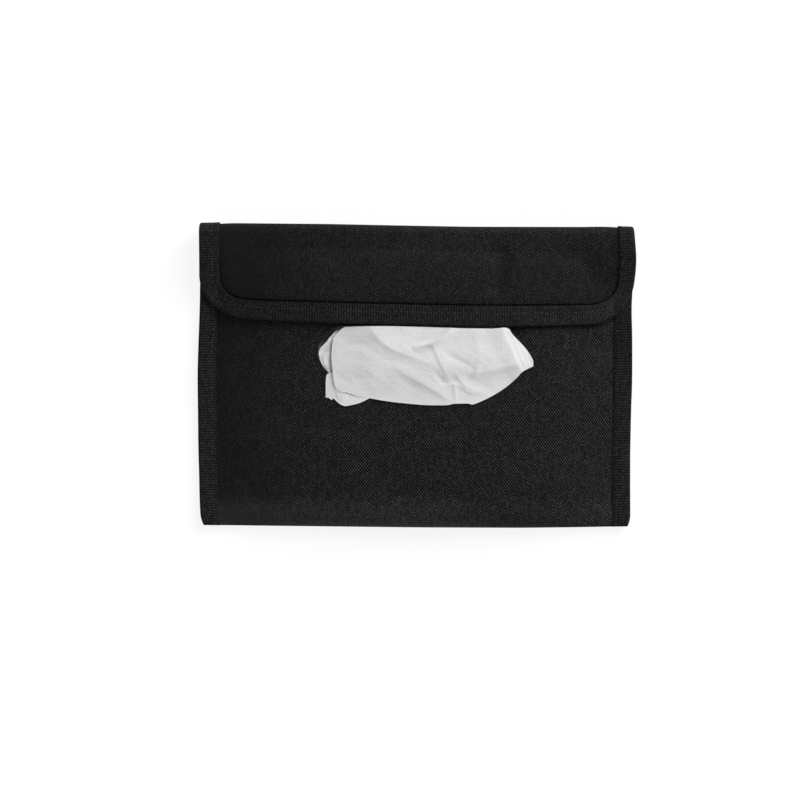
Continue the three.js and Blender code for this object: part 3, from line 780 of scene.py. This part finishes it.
# Each side: its name, its way out from the middle, its seed, how far the tape's inner edge is pressed
# down on the front, and its finish
side_tapes = [("left", -1, 21, 0, tape_finish), ("right", 1, 31, 0.3 * mm, painted_shade_tape)]
for name, side, seed, pressed, finish in side_tapes:
    grid, thickness = side_grid(side, seed, pressed)
    binding = add_sheet(f"{name}_side_binding", grid, thickness)
    dress(binding, finish, "tape", "pouch", f"{name}_side_tape")
    sew(f"{name}_side_stitches", tape_seams(grid), "pouch", f"{name}_side_thread")


# Two wide elastic bands across the back. They slip over a sun visor or a headrest. Each end is cut
# across and held to the back with a sewn box with a cross in it.
elastic_rib = 2.1 * mm
inner_stitches = back_high.z + 0.08 * mm
outer_stitches = 0.02 * mm


def woven_elastic():
    """Rubber cords run lengthwise under a close woven cover, so the band is ribbed along its length."""
    finish = Finish("black_elastic")
    across, along = finish.cut()
    cord = abs((across / elastic_rib).wave())
    pick = abs((along / (0.8 * mm) + (across / (elastic_rib / 2)).whole() * 0.5).wave())
    lint = finish.noise(finish.spot(across, along), 4 * mm, 4)
    bright = (cord * 0.6 + 0.5) * (pick * 0.7 + 0.5) * (lint * 0.8 + 0.6)
    dull, relief = 0.7 - pick * 0.08, cord * (0.12 * mm) + pick * (0.08 * mm)
    return finish.surface((0.011, 0.011, 0.0113), bright, dull, relief, specular=0.15)


elastic_finish = woven_elastic()


def band_grid(low, high, seed):
    x, y = np.meshgrid(np.linspace(low.x, high.x, 61), np.linspace(low.y, high.y, 90))
    ease = 0.08 * mm * ripples(x, y, 60 * mm, seed)
    share = (x - (low.x + high.x) / 2) / (high.x - low.x)
    narrow = 0.3 * mm * ripples(y, y * 0, 45 * mm, seed + 1) * share
    return np.stack([x + narrow, y, (low.z + high.z) / 2 + ease], axis=-1)


def cross_box(node, level, up):
    """The paths of a sewn box with a cross in it."""
    corners = box_corners(node)
    runs = [*zip(corners, corners[1:] + corners[:1]), (corners[0], corners[2]), (corners[1], corners[3])]
    rows = [np.linspace((*start, level), (*end, level), 20) for start, end in runs]
    return [facing_up(handmade(row), up) for row in rows]


for side, seed in (("left", 41), ("right", 51)):
    low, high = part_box(f"{side}_elastic_band")
    grid = band_grid(low, high, seed)
    share = np.linspace(-1, 1, grid.shape[1])
    cords = np.abs(np.sin((grid[0, :, 0] - grid[0, 0, 0]) / elastic_rib * math.pi))
    girth = (high.z - low.z) * (0.78 + 0.14 * cords) * (1 - 0.45 * np.abs(share) ** 24)
    band = add_sheet(f"{side}_visor_band", handmade(grid), girth)
    dress(band, elastic_finish, "elastic", "pouch", f"{side}_elastic_band")
    for end in ("lower", "upper"):
        tack = f"{side}_band_{end}_tack"
        rows = cross_box(tack, inner_stitches, 1) + cross_box(tack, outer_stitches, -1)
        sew(f"{side}_band_{end}_stitches", rows, "pouch", tack)


# The flap's cloth: the back's strip goes on round the top fold and comes down over the front. The flap
# lies over the patches and rises a little where the tissue passes.
flap_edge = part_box("flap_tape")[0].y
flap_corner = 25 * mm
flap_tape_width = 11 * mm
flap_seam = 3.8 * mm
right_narrower = 0.22
groove_depth = 1.0 * mm
fold_level = hinge_z + 4.5 * mm
fold_reach = 4.5 * mm
fold_half = (fold_level - back_middle) / 2
fold_middle = (fold_level + back_middle) / 2
fold_length = math.pi * math.hypot(fold_reach, fold_half) / math.sqrt(2)
flap_length = fold_length + hinge_y - flap_edge
tape_inset = tape_thickness + layer_gap
fold_blend = 16 * mm
tissue_lift = 0.95 * mm
corner_lift = 2.0 * mm
hem_softness = 10 * mm
over_tape = tape_thickness + 2 * layer_gap
over_patches = 2.5 * mm
patch_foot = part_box("left_hook_patch")[0].y
side_blend = 24 * mm

# The flap's dents and swellings, listed as the front's are
flap_dents = [
    (46.2, 78, 43.7, 41, 5.6, -2.3),
    (33, 76, 31, 44, 10, -0.5),
    (-95, 70, -60, 64, 8, 0.4),
    (-60, 45, -20, 52, 10, -0.4),
    (80, 60, 94, 46, 8, 0.4),
]
# How far the flap's lower edge lies above or below its pattern, at some places across, in millimetres
hem_drift = [
    (-120, 5.6), (-110, 5.0), (-101, 4.0), (-87, 2.4), (-64, 1.5), (-39, 0.5), (5, -0.3), (35, -0.7),
    (60, -0.4), (91, 1.0), (109, 1.5), (120, 1.5),
]


def inside_tape(x, y):
    """Distance in from the flap's tape, which is sewn on narrower up the right side."""
    aside, below = np.abs(x) - (half_width - flap_corner), flap_edge + flap_corner - y
    past = np.hypot(np.maximum(aside, 0), np.maximum(below, 0))
    inset = flap_corner - past - np.minimum(np.maximum(aside, below), 0)
    sideways = np.maximum(aside, 0) / np.maximum(past, 1e-9) * (x > 0)
    return inset - flap_tape_width * (1 - right_narrower * sideways**2)


def flap_middle(x, y, groove=0.0):
    """Height of the middle of the flap's cloth where it lies over the front. The cloth dips by the
    groove's depth just inside the tape, where the seam pulls it down."""
    sunk_up = 1 - eased(flap_edge, patch_foot, y)
    sunk_out = 1 - eased(seam_half - side_blend, seam_half, np.abs(x))
    lift = over_patches - (over_patches - over_tape) * sunk_up * sunk_out
    tissue_room = eased(64 * mm, 50 * mm, np.abs(x - 4 * mm)) * (1 - eased(32 * mm, 47 * mm, y))
    right_corner = eased(95 * mm, 115 * mm, x) * (1 - eased(flap_edge, flap_edge + 26 * mm, y))
    lift = lift + tissue_lift * tissue_room + corner_lift * right_corner
    rest = seam_level + loft * side_share(x) * end_share(np.minimum(y, mouth_edge))
    laid = rest + cloth_thickness * 1.5 + lift
    inside = inside_tape(x, y)
    free = eased(0, flap_tape_width, inside)
    crevice = np.exp(-(((inside - 0.4 * mm) / (0.5 * mm)) ** 2))
    crevice = crevice * (0.4 + 0.6 * eased(-110 * mm, -80 * mm, x))
    swell = np.exp(-(((inside - 5 * mm) / (3.5 * mm)) ** 2))
    laid = laid - groove * crevice + 0.3 * mm * swell
    laid = laid + 0.13 * mm * free * ripples(x, y, 40 * mm, 61)
    laid = dented(laid, x, y, flap_dents, free)
    blend = fold_blend + 26 * mm * eased(85 * mm, seam_half, np.abs(x))
    return laid + (fold_level - laid) * eased(hinge_y - blend, hinge_y, y)


def flap_point(x, s, t, groove=0.0):
    """A point s along the strip from where the top fold begins, and t out from the cloth's middle."""
    turn = np.clip(s / fold_length, 0, 1) * math.pi - math.pi / 2
    fold_y = hinge_y + (fold_reach + t) * np.cos(turn) + np.minimum(s, 0)
    fold_z = fold_middle + (fold_half + t) * np.sin(turn)
    y = hinge_y - np.maximum(s - fold_length, 0)
    z = flap_middle(x, y, groove) + t
    laid = s > fold_length
    return np.stack([x, np.where(laid, y, fold_y), np.where(laid, z, fold_z)], axis=-1)


def hang(points, share):
    """Lets the flap's lower edge hang a little uneven; share grows from the fold to the edge."""
    drift = outline_shift(hem_drift, points[..., 0], hem_softness)
    moved = points.copy()
    moved[..., 1] += drift * np.clip(share, 0, 1) ** 1.3
    return handmade(moved)


def flap_columns(half):
    """Columns of the flap's cloth: only those near its ends draw in where its corners are round."""
    free_half = half_width - flap_corner - flap_tape_width
    left = np.linspace(-cloth_half, -free_half, 91)[:-1]
    x = np.concatenate([left, np.linspace(-free_half, free_half, 140), -left[::-1]])
    beyond = np.maximum(0, np.abs(x) - free_half)
    drawn_in = beyond * (half - free_half) / (cloth_half - free_half)
    return np.sign(x) * (np.minimum(np.abs(x), free_half) + drawn_in)


def flap_half(from_edge):
    into = np.maximum(0, flap_corner - from_edge)
    radius = flap_corner - tape_inset
    return half_width - flap_corner + np.sqrt(np.maximum(0, radius**2 - into**2))


corner_turns = np.radians(np.concatenate([np.linspace(0, 40, 41)[1:-1], np.linspace(40, 90, 20)]))
corner_rows = flap_length - flap_corner + (flap_corner - tape_inset) * np.sin(corner_turns)
flap_rows = np.concatenate([np.linspace(fold_length, flap_length - flap_corner, 50), corner_rows])
flap_x = np.stack([flap_columns(flap_half(flap_length - s)) for s in flap_rows])
flap_s = np.broadcast_to(flap_rows[:, None], flap_x.shape)
hang_share = (flap_s - fold_length) / (flap_length - fold_length)
flap_points = hang(flap_point(flap_x, flap_s, 0.0, groove_depth), hang_share)
fold_x, fold_s = np.meshgrid(flap_x[0], np.linspace(0, fold_length, 33))
fold_points = handmade(flap_point(fold_x, fold_s, 0.0))

top_fold = add_sheet("top_fold_cloth", fold_points, cloth_thickness, along_from=strip_length)
dress(top_fold, woven_cloth, "cloth", None)
fold_head = (0, hinge_y, fold_level - 0.4 * mm)
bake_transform(top_fold)

flap_start = strip_length + fold_length
flap_cloth = add_sheet("flap_cloth", flap_points, cloth_thickness, along_from=flap_start)
dress(flap_cloth, woven_cloth, "cloth", "flap", "flap_panel")
flap_flat = (2 * cloth_half, hinge_y - flap_edge)


# The flap's binding: the same ribbed tape goes up from the back round the top fold, down one side of
# the flap, along its lower edge and up the other side, in one length sewn through both legs.
def flap_path():
    """The flap's outline as places, distances along the strip and the directions inwards."""
    start = side_tape_high.y - hinge_y + 0.3 * mm
    straight = np.concatenate([
        np.linspace(start, 0, 6)[:-1],
        np.linspace(0, fold_length, 26)[:-1],
        np.linspace(fold_length, flap_length - flap_corner, 28),
    ])
    one, none = np.ones_like(straight), np.zeros_like(straight)
    down = np.column_stack([-half_width * one, straight, one, none])
    turns = np.linspace(0, math.pi / 2, 34)[1:-1]
    inward = np.column_stack([np.cos(turns), -np.sin(turns)])
    centre = [flap_corner - half_width, flap_length - flap_corner]
    corner = np.column_stack([centre - flap_corner * inward, inward])
    free = half_width - flap_corner
    lower = np.linspace((-free, flap_length, 0, -1), (free, flap_length, 0, -1), 150)
    back_up = np.concatenate([down, corner])[::-1] * [-1, 1, -1, 1]
    return np.concatenate([down, corner, lower, back_up])


def flap_binding_grid(path):
    """Middle of the tape along the flap's outline."""
    inward, lift = binding_section(flap_tape_width, binding_half, flap_seam)
    share = inward / flap_tape_width
    place = distances(path[:, :2])[:, None]
    rigid = eased(fold_length - 1 * mm, fold_length + 6 * mm, path[:, 1])[:, None]
    wander = 0.22 * mm * ripples(place, place * 0, 30 * mm, 71) * share**2 * rigid
    pucker = 0.06 * mm * ripples(place, place * 0, 5 * mm, 72) * share * rigid
    narrow = 1 - right_narrower * np.maximum(0, -path[:, 2, None]) ** 2
    inward = inward * narrow + wander
    x = path[:, 0, None] + path[:, 2, None] * inward
    s = path[:, 1, None] + path[:, 3, None] * inward
    points = flap_point(x, s, lift + pucker * np.sign(lift))
    return hang(points, np.maximum(s - fold_length, 0) / (flap_length - fold_length))


outline_path = flap_path()
binding_points = flap_binding_grid(outline_path)
upright = outline_path[:, 1] <= fold_length + 1e-9
left_end = int(np.argmin(upright))
right_start = len(upright) - int(np.argmin(upright[::-1]))
rigid_points = binding_points[left_end - 1 : right_start + 1]
outer_column = binding_points.shape[1] // 2
flap_binding = add_sheet("flap_binding", rigid_points, tape_thickness, along_column=outer_column)
dress(flap_binding, tape_finish, "tape", "flap", "flap_tape")
straight_side = hinge_y - flap_edge - flap_corner
binding_run = 2 * (half_width - flap_corner) + math.pi * flap_corner + 2 * straight_side

for name, part, up in (("left", slice(0, left_end), -1), ("right", slice(right_start, None), 1)):
    fold_binding = add_sheet(f"{name}_fold_binding", binding_points[part], tape_thickness)
    dress(fold_binding, tape_finish, "tape", None)
    fold_stitches = sew(f"{name}_fold_stitches", tape_seams(binding_points[part], up), None)
    for piece in (fold_binding, fold_stitches):
        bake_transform(piece)

sew("flap_stitches", tape_seams(rigid_points), "flap", "flap_tape_thread")


# The hook patches: stiff nylon hooks on a woven base, sewn under the flap above the loop patches.
hook_reach = 0.35 * mm
hook_height = 0.45 * mm


def hook_level(x, y):
    return flap_middle(x, y) - cloth_thickness / 2 - patch_gap - patch_base


for side, seed in (("left", 81), ("right", 82)):
    node = f"{side}_hook_patch"
    x, y, heading = pile_spots(node, 1.3 * mm, seed, 0.08 * mm)
    heading = np.where(heading > math.pi / 2, math.pi / 2, -math.pi / 2)
    hooks = ((x, y, heading), hook_level, hook_reach, hook_height, 0.8 * math.pi)
    add_patch(node, hook_level, "flap", f"{side}_hooks", hooks, -1, 0.0)


# The pack of tissues in the pouch: soft white paper, folded to and fro. Each tissue is laced into the
# one above it, so the whole pack is drawn here as one long zigzag of paper.
stack_low, stack_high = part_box("tissue_stack")
stack_passes = 16
stack_clearance = 4.5 * mm
stack_least = 1.2 * mm
pass_turn = 0.3 * mm


def soft_paper():
    """Two plies of embossed tissue paper, matt, with faint fibres and crimps."""
    finish = Finish("white_tissue")
    across, along = finish.cut()
    fibres = finish.noise(finish.spot(across * 0.45, along, 2.0), 0.55 * mm, 4, 0.65)
    crimp = finish.noise(finish.spot(across, along * 0.5, 6.0), 0.9 * mm, 2)
    clouds = finish.noise(finish.spot(across, along), 14 * mm, 3)
    bright = clouds * 0.06 + fibres * 0.24 + 0.85
    relief = fibres * (0.15 * mm) + crimp * (0.1 * mm)
    return finish.surface((0.672, 0.672, 0.67), bright, 0.92, relief, specular=0.1)


tissue_paper = soft_paper()


def stack_grid():
    """The zigzag of the pack, and the thickness of its paper: each pass stands for several plies."""
    run_half = stack_high.y - pass_turn
    turn = np.radians([-45, 0, 45])
    y, share = [], []
    for layer in range(stack_passes):
        way = 1 if layer % 2 == 0 else -1
        y.extend(np.linspace(-1, 1, 15) * way * run_half)
        share.extend(np.full(15, (layer + 0.5) / stack_passes))
        if layer < stack_passes - 1:
            y.extend(way * (run_half + pass_turn * np.cos(turn)))
            share.extend((layer + 1 + np.sin(turn) / 2 * 0.9) / stack_passes)
    x, y = np.meshgrid(np.linspace(-stack_high.x, stack_high.x, 61), y)
    sunk = 6 * mm * eased(-38 * mm, -46 * mm, x) * eased(6 * mm, 14 * mm, y)
    depth = np.maximum(stack_least, front_under(x, y) - stack_clearance - stack_low.z - sunk)
    height = stack_low.z + depth * np.array(share)[:, None]
    return np.stack([x, y, height], axis=-1), depth / stack_passes * 0.72


tissue_pack = add_sheet("tissue_pack", *stack_grid())
dress(tissue_pack, tissue_paper, "tissue", "pouch", "tissue_stack")


# The next tissue: its crumpled end fills the slot from below, just under the front, and its left end
# comes up to the slot's rim. Its creases, like all the drawn ones, are laid out on the photo.
camera_height = 1.2386
camera_place = (-9.36 * mm, -13.65 * mm)
camera_roll = 0.0058
photo_level = 4 * mm
photo_pixel = 0.5556 * mm
photo_centre = (400, 400)
tissue_level = front_high.z + 1 * mm
ply_thickness = 0.25 * mm
crease_softness = 0.5 * mm
next_room = 1.2 * mm
next_depth = 3.5 * mm
next_rise = 3.9 * mm

# Its upper left edge, a little inside the slot
next_rim = [(318, 353), (321.3, 347.2), (326.6, 342), (329.8, 337.6), (335, 332), (342, 326.5), (350, 324)]
# Each crease: its height in millimetres, its widths to the right and the left in pixels, its places
next_creases = [
    (-0.7, 4, 1.5, [(318, 355), (324, 350), (331, 343.5)]),
    (0.4, 4, 3, [(326, 352), (325, 360), (327, 368)]),
    (-0.5, 2, 4, [(321, 366), (325, 369.5), (329, 371)]),
]


def from_photo(pixels):
    """Places in the plane of the tissue that are seen at some pixels of the photo."""
    shrink = (camera_height - tissue_level) / (camera_height - photo_level)
    right, down = np.moveaxis((np.asarray(pixels) - photo_centre) * photo_pixel * shrink, -1, 0)
    x = camera_place[0] + right * math.cos(camera_roll) + down * math.sin(camera_roll)
    y = camera_place[1] + right * math.sin(camera_roll) - down * math.cos(camera_roll)
    return np.stack([x, y], axis=-1)


def smooth_through(corners, steps=8):
    """A smooth curve through a few points."""
    corners = np.array(corners, float)
    ends = np.concatenate([[2 * corners[0] - corners[1]], corners, [2 * corners[-1] - corners[-2]]])
    share = np.linspace(0, 1, steps, endpoint=False)[:, None]
    spans = []
    for before, start, end, after in zip(ends, ends[1:], ends[2:], ends[3:]):
        bend = (2 * before - 5 * start + 4 * end - after) * share**2
        twist = (3 * start - before - 3 * end + after) * share**3
        spans.append(start + ((end - before) * share + bend + twist) / 2)
    return np.concatenate([*spans, corners[-1:]])


def crease(x, y, height, right, left, corners):
    """A crease along a line on the photo. It fades over one width to the right of its way, as seen
    from above, and over another to the left."""
    path = from_photo(smooth_through(corners, 4))
    reach = distances(path)
    nearest, side, along = np.full(x.shape, 1.0), np.zeros(x.shape), np.zeros(x.shape)
    for start, end, before, after in zip(path, path[1:], reach, reach[1:]):
        run, length = end - start, after - before
        share = np.clip(((x - start[0]) * run[0] + (y - start[1]) * run[1]) / length**2, 0, 1)
        off_x, off_y = x - start[0] - share * run[0], y - start[1] - share * run[1]
        off = np.hypot(off_x, off_y)
        nearer = off < nearest
        nearest = np.where(nearer, off, nearest)
        side = np.where(nearer, run[0] * off_y - run[1] * off_x, side)
        along = np.where(nearer, (before + share * length) / reach[-1], along)
    width = np.where(side > 0, left, right) * photo_pixel
    rounded = np.hypot(nearest, crease_softness) - crease_softness
    fade = np.maximum(0, 1 - rounded / width) ** 2
    return height * mm * fade * (1 - (2 * along - 1) ** 2)


def creased(x, y, height, creases):
    for row in creases:
        height = height + crease(x, y, *row)
    return height


def next_grid():
    x, across = np.meshgrid(np.linspace(-1, 1, 190), np.linspace(-1, 1, 70))
    x = x * (slot_half - next_room)
    end = np.maximum(0, np.abs(x) - (slot_half - slot_radius))
    half = np.sqrt(np.maximum(0, (slot_radius - next_room + 0.01 * mm) ** 2 - end**2))
    rim_x, rim_y = from_photo(smooth_through(next_rim)).T
    top = np.minimum(half, np.interp(x, rim_x, rim_y, right=1) - slot_centre)
    y = slot_centre + np.where(across > 0, np.maximum(top, -0.9 * half), half) * across
    z = front_under(x, y) - next_depth + next_rise * eased(-40.5 * mm, -45.5 * mm, x)
    z = creased(x, y, z, next_creases) - 0.3 * mm * eased(-48.5 * mm, -46.5 * mm, x)
    z = z + 0.16 * mm * ripples(x, y, 9 * mm, 91) + 0.05 * mm * ripples(x, y, 3 * mm, 92)
    return np.stack([x, y, np.minimum(z, front_outer(x, y) + 0.1 * mm)], axis=-1)


next_end = add_sheet("next_tissue_end", handmade(next_grid()), ply_thickness)
dress(next_end, tissue_paper, "tissue", "pouch", "next_tissue")
next_area = 4 * slot_half * slot_radius - (4 - math.pi) * slot_radius**2
next_flat = (2 * slot_half, 2 * slot_radius)


# The drawn tissue: it comes up through the slot, under the flap's edge, and lies over the slot and
# the front. Its left corner is turned under, and its right end is the folded edge of the paper.
sheet_lift = 0.53 * mm
least_lift = 0.48 * mm
end_bulge = 0.4 * mm
middle_bulge = 1.95 * mm
end_slope = 0.13
sheet_upper = [
    (331.4, 354), (332.3, 343), (333.6, 337.8), (336.7, 333.6), (340.2, 330.1), (344, 327.2),
    (350, 326.6), (384, 326.3), (420, 327), (444, 327.8), (468, 328.5), (492, 328.6), (507, 328),
    (513, 335), (525.5, 348.2), (532.5, 358.9), (533.5, 363),
]
sheet_lower = [
    (331.4, 360), (332.4, 370), (333.2, 380), (335.5, 387.4), (338.5, 391), (343.5, 392.3), (349, 393.2),
    (358.4, 396.6), (368, 398), (390, 401.7), (412, 404), (425, 405.1), (440, 405.3), (448.5, 405),
    (454, 403.8), (468, 403.6), (474, 404.2), (489.6, 397.4), (504, 388.7), (516, 378.7), (522, 372.2),
    (527.5, 369), (533.5, 366.2),
]
folded_edge = [(501.5, 328), (521, 371.4)]
drawn_creases = [
    (0.8, 13, 34, [(362, 314), (374, 333), (387, 346), (402, 353), (424, 361), (445, 370)]),
    (-0.4, 16, 16, [(336, 352), (350, 345), (378, 346)]),
    (0.6, 8, 17, [(392, 366), (409, 376), (424, 384.5), (438, 393), (456, 405)]),
    (0.2, 20, 20, [(333, 366), (335, 380), (342, 392), (356, 396), (368, 398)]),
    (1.5, 8, 5, [(412, 349.5), (420, 346.5), (430, 344), (438, 340), (446, 334), (460, 320)]),
    (0.38, 4, 24, [(430, 341), (433.5, 347), (438, 357), (444, 370), (450, 382)]),
    (-0.32, 8, 5, [(444, 353), (456, 359.6), (466, 364), (478, 372)]),
    (0.36, 5, 4, [(481, 365), (476.4, 371.4), (473, 379)]),
    (0.4, 5, 9, [(454, 372), (463, 383), (471, 389), (486, 396)]),
    (0.2, 3, 3, [(461, 388), (469, 392.3), (478, 394)]),
    (-0.36, 5, 5, [(433, 369), (443, 382), (448, 382), (459, 377)]),
    (0.28, 5, 5, [(446, 379), (455, 385), (469, 388)]),
    (0.22, 4, 2.5, [(454.4, 382), (455.3, 392), (457, 403)]),
    (0.3, 24, 14, [(471, 325), (475, 335), (478, 350), (480, 370)]),
    (0.85, 15, 18, [(466, 376), (488, 371), (505, 367), (530, 358)]),
    (-0.3, 7, 4, [(494, 379), (505, 373), (520, 367)]),
    (-0.18, 8, 7, [(352, 382), (365, 377), (372, 372)]),
]


def fold_drop(x, y):
    """The right end: beyond a fold, the paper slopes down with fine ridges along it."""
    start, end = from_photo(folded_edge)
    run = (end - start) / np.linalg.norm(end - start)
    beyond = run[0] * (y - start[1]) - run[1] * (x - start[0])
    ridges = 0.04 * mm * ripples(beyond, beyond * 0, 2 * mm, 93, 5) * eased(1 * mm, 2 * mm, beyond)
    drop = end_slope * np.maximum(0, beyond) + 0.12 * mm * eased(-0.3 * mm, 2.4 * mm, beyond)
    return 0.5 * mm * eased(-9 * mm, 0, beyond) - drop + ridges


def drawn_height(x, y):
    """Height of the drawn tissue: it bulges where it comes over the slot, and creases as it falls."""
    right_part = eased(10 * mm, 45 * mm, x)
    rise = eased(-17 * mm + 8 * mm * right_part, 7 * mm + 5 * mm * right_part, y)
    middle = eased(-48 * mm, -20 * mm, x)
    z = front_outer(x, y) + sheet_lift + (end_bulge + middle_bulge * middle) * rise
    z = creased(x, y, z, drawn_creases) + fold_drop(x, y)
    fine = 0.09 * mm * ripples(x, y, 13 * mm, 95) + 0.03 * mm * ripples(x, y, 4.5 * mm, 96)
    return np.maximum(z + fine, front_outer(x, y) + least_lift)


def paper_between(upper, lower, columns, rows, height):
    """A grid of points between two outlines on the photo that both run from left to right."""
    lines = []
    for corners in (upper, lower):
        line = smooth_through(corners)
        lines.append((np.maximum.accumulate(line[:, 0]), line[:, 1]))
    spread = (1 - np.cos(np.linspace(0, math.pi, columns))) / 2
    spread = spread * 0.35 + np.linspace(0, 1, columns) * 0.65
    px = upper[0][0] + (upper[-1][0] - upper[0][0]) * spread
    top, bottom = (np.interp(px, *line) for line in lines)
    share = np.linspace(0, 1, rows)[:, None]
    pixels = np.stack([np.broadcast_to(px, (rows, columns)), top + (bottom - top) * share], axis=-1)
    x, y = np.moveaxis(from_photo(pixels), -1, 0)
    return np.stack([x, y, height(x, y)], axis=-1)


drawn_points = paper_between(sheet_upper, sheet_lower, 300, 130, drawn_height)
drawn_sheet = add_sheet("drawn_tissue_sheet", drawn_points, ply_thickness)
dress(drawn_sheet, tissue_paper, "tissue", "tissue", "drawn_tissue")


# The corner that is turned under the drawn tissue at its lower left. It is part of the same paper.
corner_upper = [(325.6, 382), (326.3, 375.5), (330, 372.4), (336, 373), (346, 375), (360, 381), (373, 388)]
corner_lower = [
    (325.6, 397.6), (328.4, 397.7), (331.6, 400), (333.6, 398.6), (339, 403.6), (344.2, 406), (349, 405.6),
    (360.2, 402.8), (373, 396.5),
]
corner_ramp = [(326, 385), (343, 393)]
corner_creases = [
    (0.22, 1.8, 2.2, [(331 + shift, 376), (335 + shift, 388), (342 + shift, 404)])
    for shift in (0, 3.2, 6.4)
]


def corner_height(x, y):
    left, fold = from_photo(corner_ramp)
    z = front_outer(x, y) + 0.1 * mm + 0.45 * mm * eased(left[0], fold[0], x)
    return creased(x, y, z, corner_creases) + 0.02 * mm * ripples(x, y, 4 * mm, 97)


corner_points = paper_between(corner_upper, corner_lower, 100, 60, corner_height)
turned_corner = add_sheet("drawn_tissue_corner", corner_points, ply_thickness)
dress(turned_corner, tissue_paper, "tissue", "tissue")


# Where the drawn tissue comes up through the slot: the same paper again, from below the front to the
# underside of the part that lies on top.
neck_left, neck_right = -40 * mm, 42 * mm
neck_columns = 120
# Across the neck: how far up the pouch, and how high above the front's outer side
neck_section = [
    (15.0, -3.0), (18.5, -2.95), (21.5, -2.9), (23.2, -2.5), (24.2, -1.7), (24.9, -0.6), (25.3, 0.4),
    (25.2, 1.2),
]


def neck_grid():
    section = smooth_through(neck_section, 5) * mm
    x, y = np.meshgrid(np.linspace(neck_left, neck_right, neck_columns), section[:, 0])
    gather = 0.22 * mm * ripples(x, x * 0, 8 * mm, 98)
    return np.stack([x, y + gather, front_outer(x, y) + section[:, 1:]], axis=-1)


neck_points = neck_grid()
tissue_neck = add_sheet("drawn_tissue_neck", neck_points, ply_thickness)
dress(tissue_neck, tissue_paper, "tissue", "tissue")


# The studio: two large soft lights, a camera straight above, a pale floor and a pale room. Floor and
# room show white to the camera, and the floor still takes the holder's shadow.
floor_level = -0.4 * mm
floor_half = 3.0
floor_glow = 1.04
floor_glow_share = 0.84
room_light = 0.2
camera_lens = 100
white = (1, 1, 1, 1)

# Each light: its name, the direction that it shines from, its strength and its spread in degrees
soft_lights = [
    ("key_light", (0.62, 0.63, 0.47), 4.65, 40),
    ("front_light", (-0.25, -0.9, 0.3), 1.1, 60),
]
for name, direction, strength, spread in soft_lights:
    lamp = bpy.data.lights.new(name, "SUN")
    lamp.energy = strength
    lamp.angle = math.radians(spread)
    facing = Vector(direction).to_track_quat("Z", "Y").to_euler()
    add_object(name, lamp).rotation_euler = facing


def seen_by_camera(finish):
    """1 for what the camera sees, straight or by a glossy or clear surface, and 0 for other light."""
    rays = ("Is Camera Ray", "Is Glossy Ray", "Is Transmission Ray")
    camera_ray, glossy_ray, clear_ray = (finish.node("ShaderNodeLightPath", output=ray) for ray in rays)
    return (camera_ray + glossy_ray + clear_ray).maths("MINIMUM", 1.0)


camera = add_object("camera", bpy.data.cameras.new("camera"))
camera.data.lens = camera_lens
camera.location = (*camera_place, camera_height)
camera.rotation_euler = (0, 0, camera_roll)
bpy.context.scene.camera = camera

pale_floor = Finish("pale_floor")
grain = pale_floor.noise(pale_floor.in_space(), 60 * mm)
floor_colour = pale_floor.shade((1, 1, 1), grain * 0.02 + 0.88)
matte = pale_floor.node("ShaderNodeBsdfDiffuse", None, {"Color": floor_colour})
glow = pale_floor.node("ShaderNodeEmission", None, {"Color": white, "Strength": floor_glow})
glowing = seen_by_camera(pale_floor) * floor_glow_share
both = pale_floor.node("ShaderNodeMixShader", None, {0: glowing, 1: matte, 2: glow})
pale_floor.node("ShaderNodeOutputMaterial", None, {"Surface": both})

floor_mesh = bpy.data.meshes.new("floor")
floor_corners = [(-1, -1), (1, -1), (1, 1), (-1, 1)]
floor_points = [(x * floor_half, y * floor_half, floor_level) for x, y in floor_corners]
floor_mesh.from_pydata(floor_points, [], [(0, 1, 2, 3)])
floor_mesh.materials.append(pale_floor.material)
add_object("floor", floor_mesh)

room = Finish("studio", bpy.data.worlds)
bpy.context.scene.world = room.material
light = room.node("ShaderNodeBackground", None, {"Color": white, "Strength": room_light})
backdrop = room.node("ShaderNodeBackground", None, {"Color": white, "Strength": 1.0})
around = room.node("ShaderNodeMixShader", None, {0: seen_by_camera(room), 1: light, 2: backdrop})
room.node("ShaderNodeOutputWorld", None, {"Surface": around})

bpy.context.scene.view_settings.view_transform = "Standard"
